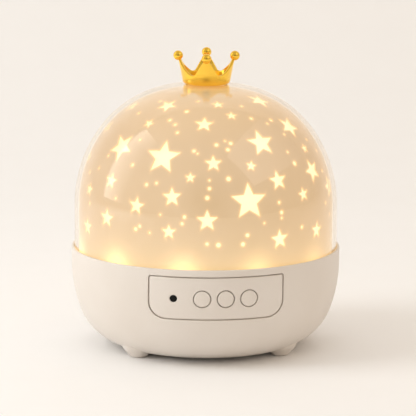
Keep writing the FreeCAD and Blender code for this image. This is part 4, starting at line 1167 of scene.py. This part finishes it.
def circuit_board(name, base, track):
    """Solder mask over copper tracks: thin lines with pads, a little raised."""
    material, nodes, links, shader = new_material(name, Roughness=0.35, Coat_Weight=0.3)
    place = add_node(nodes, "TexCoord")
    lines = add_node(
        nodes, "TexBrick", Scale=180.0, Mortar_Size=0.035, Color1=(*base, 1),
        Color2=(*[c * 0.9 for c in base], 1), Mortar=(*track, 1),
    )
    pads = add_node(nodes, "TexVoronoi", Scale=330.0)
    ring = add_node(nodes, "Math", "LESS_THAN")
    ring.inputs[1].default_value = 0.16
    tint = colour_mix(nodes, second=(0.62, 0.6, 0.55))
    raised = add_node(nodes, "Bump", Strength=0.25, Distance=0.1 * mm)
    links.new(place.outputs["Object"], lines.inputs["Vector"])
    links.new(place.outputs["Object"], pads.inputs["Vector"])
    links.new(pads.outputs["Distance"], ring.inputs[0])
    links.new(ring.outputs[0], tint.inputs["Factor"])
    links.new(lines.outputs["Color"], tint.inputs[6])
    links.new(tint.outputs[2], shader.inputs["Base Color"])
    links.new(lines.outputs["Fac"], raised.inputs["Height"])
    links.new(raised.outputs["Normal"], shader.inputs["Normal"])
    return material


inner_plastic = moulded("inner_plastic", (0.82, 0.81, 0.78), (0.78, 0.765, 0.73), 0.5, 1800.0, 0.05)
gear_plastic = moulded("gear_plastic", (0.86, 0.86, 0.83), (0.82, 0.81, 0.78), 0.3, 1500.0, 0.02)
black_plastic = moulded("black_plastic", (0.02, 0.02, 0.022), (0.03, 0.03, 0.032), 0.45, 1500.0, 0.05)
# The lamp lens has a painted glow, for the light of the lamp under it.
lens_plastic = moulded("lens_plastic", (0.95, 0.86, 0.68), (0.92, 0.82, 0.62), 0.35, 900.0, 0.02, light=0.5)
main_lamp_plastic = moulded(
    "main_lamp_plastic", (1.0, 0.9, 0.62), (1.0, 0.84, 0.5), 0.3, 600.0, 0.02, light=1.2
)
cell_wrap = moulded("cell_wrap", (0.05, 0.17, 0.36), (0.04, 0.13, 0.3), 0.28, 700.0, 0.03, sheen=0.3)
red_lead = moulded("red_lead", (0.5, 0.02, 0.015), (0.4, 0.015, 0.012), 0.45, 1200.0, 0.05)
white_lead = moulded("white_lead", (0.78, 0.78, 0.76), (0.7, 0.7, 0.68), 0.45, 1200.0, 0.05)
steel = metal("plain_steel", (0.62, 0.61, 0.6), 0.3, (1, 1, 6))
screw_steel = metal("screw_steel", (0.58, 0.57, 0.55), 0.34, (6, 1, 1), 500.0)
brass = metal("plate_brass", (0.62, 0.44, 0.16), 0.3, (1, 5, 1))
green_board = circuit_board("green_board", (0.015, 0.14, 0.05), (0.05, 0.3, 0.12))
white_board = circuit_board("white_board", (0.78, 0.78, 0.75), (0.7, 0.69, 0.64))

finishes = {
    inner_plastic: ("top_deck", "motor_bracket", "lamp_post"),
    gear_plastic: ("ring_gear", "turntable", "motor_pinion"),
    black_plastic: (
        "battery_holder", "control_board_parts", "infrared_receiver", "light_switch", "colour_switch",
        "motion_switch", "light_switch_plunger", "colour_switch_plunger", "motion_switch_plunger",
    ),
    lens_plastic: ("lamp_lens",),
    main_lamp_plastic: ("main_lamps",),
    cell_wrap: ("battery_cell",),
    red_lead: ("battery_leads",),
    white_lead: ("motor_lead", "lamp_lead", "charging_lead"),
    steel: ("motor_shaft", "motor_can", "crown_washer", "battery_contacts", "charging_socket"),
    screw_steel: ("case_screws", "board_screws", "deck_screws"),
    brass: ("motor_gearbox",),
    green_board: ("switch_board", "charge_board", "control_board"),
    white_board: ("lamp_ring_board", "main_lamp_board"),
}
for material, names in finishes.items():
    for name in names:
        repaint(name, material)


# Table top and backdrop
# A pale, warm sweep of matt paper that the lamp stands on. It shows only its front side, so the
# lamp can be looked at from behind too.

sweep_colour = (0.942, 0.94, 0.942)
sweep_deeper = (0.937, 0.934, 0.935)
sweep_width, sweep_front, sweep_back, sweep_top, sweep_bend = 3.0, -1.5, 1.0, 2.2, 0.6


def sweep_rows():
    """A floor that bends up into a wall behind the lamp."""
    line = [(sweep_front, 0.0), (sweep_back - sweep_bend, 0.0)]
    for i in range(1, 17):
        angle = math.pi / 2 * i / 16
        line.append((sweep_back - sweep_bend * (1 - math.sin(angle)), sweep_bend * (1 - math.cos(angle))))
    line.append((sweep_back, sweep_top))
    return [[(-sweep_width, y, z), (sweep_width, y, z)] for y, z in line]


paper = moulded("sweep_paper", sweep_colour, sweep_deeper, 0.88, 300.0, 0.01)
paper_nodes = paper.node_tree.nodes
paper_side = add_node(paper_nodes, "NewGeometry")
mix_with_clear(paper_nodes, paper.node_tree.links, paper_side.outputs["Backfacing"])
sweep = piece("paper_sweep", [loft(sweep_rows(), closed=False)], paper)
if sweep.data.polygons[0].normal.z < 0:
    sweep.data.flip_normals()


# Lamps of the room and the camera
# One tall soft lamp to the left, weak fill from the right and above, and three cards that only
# the dome and the crown mirror. The camera stands where the photo was taken from.

room_height = 0.08


def far_place(azimuth, elevation, distance):
    """A place at a direction and distance from the middle of the object, angles in degrees."""
    a, e = math.radians(azimuth), math.radians(elevation)
    way = Vector((math.sin(a) * math.cos(e), -math.cos(a) * math.cos(e), math.sin(e)))
    return way * distance + Vector((0, 0, room_height))

def aim(thing, target):
    """Turns a lamp, card or camera towards a place."""
    direction = Vector(target) - thing.location
    thing.rotation_euler = direction.to_track_quat("-Z", "Y").to_euler()


def soft_lamp(name, azimuth, elevation, distance, width, height, radiance, colour):
    """A flat soft lamp, set by its direction from the object. Mirrors and clear pieces miss it."""
    data = bpy.data.lights.new(name, "AREA")
    data.shape = "RECTANGLE"
    data.size, data.size_y = width, height
    data.energy = radiance * math.pi * width * height
    data.color = colour
    lamp = bpy.data.objects.new(name, data)
    lamp.location = far_place(azimuth, elevation, distance)
    bpy.context.scene.collection.objects.link(lamp)
    aim(lamp, (0, 0, room_height))
    lamp.visible_glossy = False
    lamp.visible_transmission = False


def reflected_card(name, azimuth, elevation, distance, width, height, near, far, from_middle=False):
    """A card that only mirrors show, its brightness running from edge to edge or from its middle."""
    material, nodes, links, shader = new_material(
        name, Base_Color=(0, 0, 0, 1), Specular_IOR_Level=0.0, Emission_Color=(1.0, 0.97, 0.93, 1)
    )
    place = add_node(nodes, "TexCoord")
    split = add_node(nodes, "SeparateXYZ")
    reach = add_node(nodes, "VectorMath", "LENGTH")
    run_start = 0.1 * width if from_middle else -width / 2
    run = add_node(nodes, "MapRange", From_Min=run_start, From_Max=width / 2, To_Min=near, To_Max=far)
    links.new(place.outputs["Object"], split.inputs["Vector"])
    links.new(place.outputs["Object"], reach.inputs[0])
    links.new(reach.outputs["Value"] if from_middle else split.outputs["X"], run.inputs["Value"])
    links.new(run.outputs["Result"], shader.inputs["Emission Strength"])
    half_w, half_h = width / 2, height / 2
    corners = [(-half_w, -half_h, 0), (half_w, -half_h, 0), (half_w, half_h, 0), (-half_w, half_h, 0)]
    card = piece(name, [(corners, [(0, 1, 2, 3)])], material)
    card.location = far_place(azimuth, elevation, distance)
    aim(card, (0, 0, room_height))
    for kind in ("camera", "diffuse", "shadow"):
        setattr(card, "visible_" + kind, False)


soft_lamp("left_lamp", -79, 29, 1.0, 0.5, 0.95, 3.45, (0.95, 0.985, 1.0))
soft_lamp("right_lamp", 86, 30, 1.1, 1.9, 1.1, 0.26, (1.0, 0.74, 0.5))
soft_lamp("top_lamp", 0, 89, 1.9, 2.4, 2.4, 0.53, (1.0, 0.965, 0.93))
reflected_card("left_card", -92, 27, 1.0, 0.46, 0.95, 2.7, 0.55)
reflected_card("right_card", 74, 44, 1.1, 1.4, 0.75, 1.35, 0.6)
reflected_card("dark_card", -4.6, 10.0, 1.5, 1.5, 1.5, 0.0, 0.58, from_middle=True)

world = bpy.data.worlds.new("room")
bpy.context.scene.world = world
world.use_nodes = True
world.node_tree.nodes["Background"].inputs["Color"].default_value = (1.0, 0.905, 0.79, 1)
world.node_tree.nodes["Background"].inputs["Strength"].default_value = 0.58

camera_distance = 1.2865
camera_azimuth, camera_elevation = math.radians(-4.6), math.radians(10.27)
camera_lens = 238.7
camera_roll = math.radians(0.3)
view_side, view_height = 1.05 * mm, 64.3 * mm
view_centre = Vector((
    view_side * math.cos(camera_azimuth), view_side * math.sin(camera_azimuth), view_height,
))
camera_data = bpy.data.cameras.new("camera")
camera_data.lens = camera_lens
camera_data.sensor_width = 36.0
camera = bpy.data.objects.new("camera", camera_data)
bpy.context.scene.collection.objects.link(camera)
back = Vector((
    math.sin(camera_azimuth) * math.cos(camera_elevation),
    -math.cos(camera_azimuth) * math.cos(camera_elevation),
    math.sin(camera_elevation),
))
camera.location = view_centre + back * camera_distance
aim(camera, view_centre)
camera.rotation_euler.rotate_axis("Z", camera_roll)
bpy.context.scene.camera = camera
bpy.context.scene.view_settings.view_transform = "Standard"
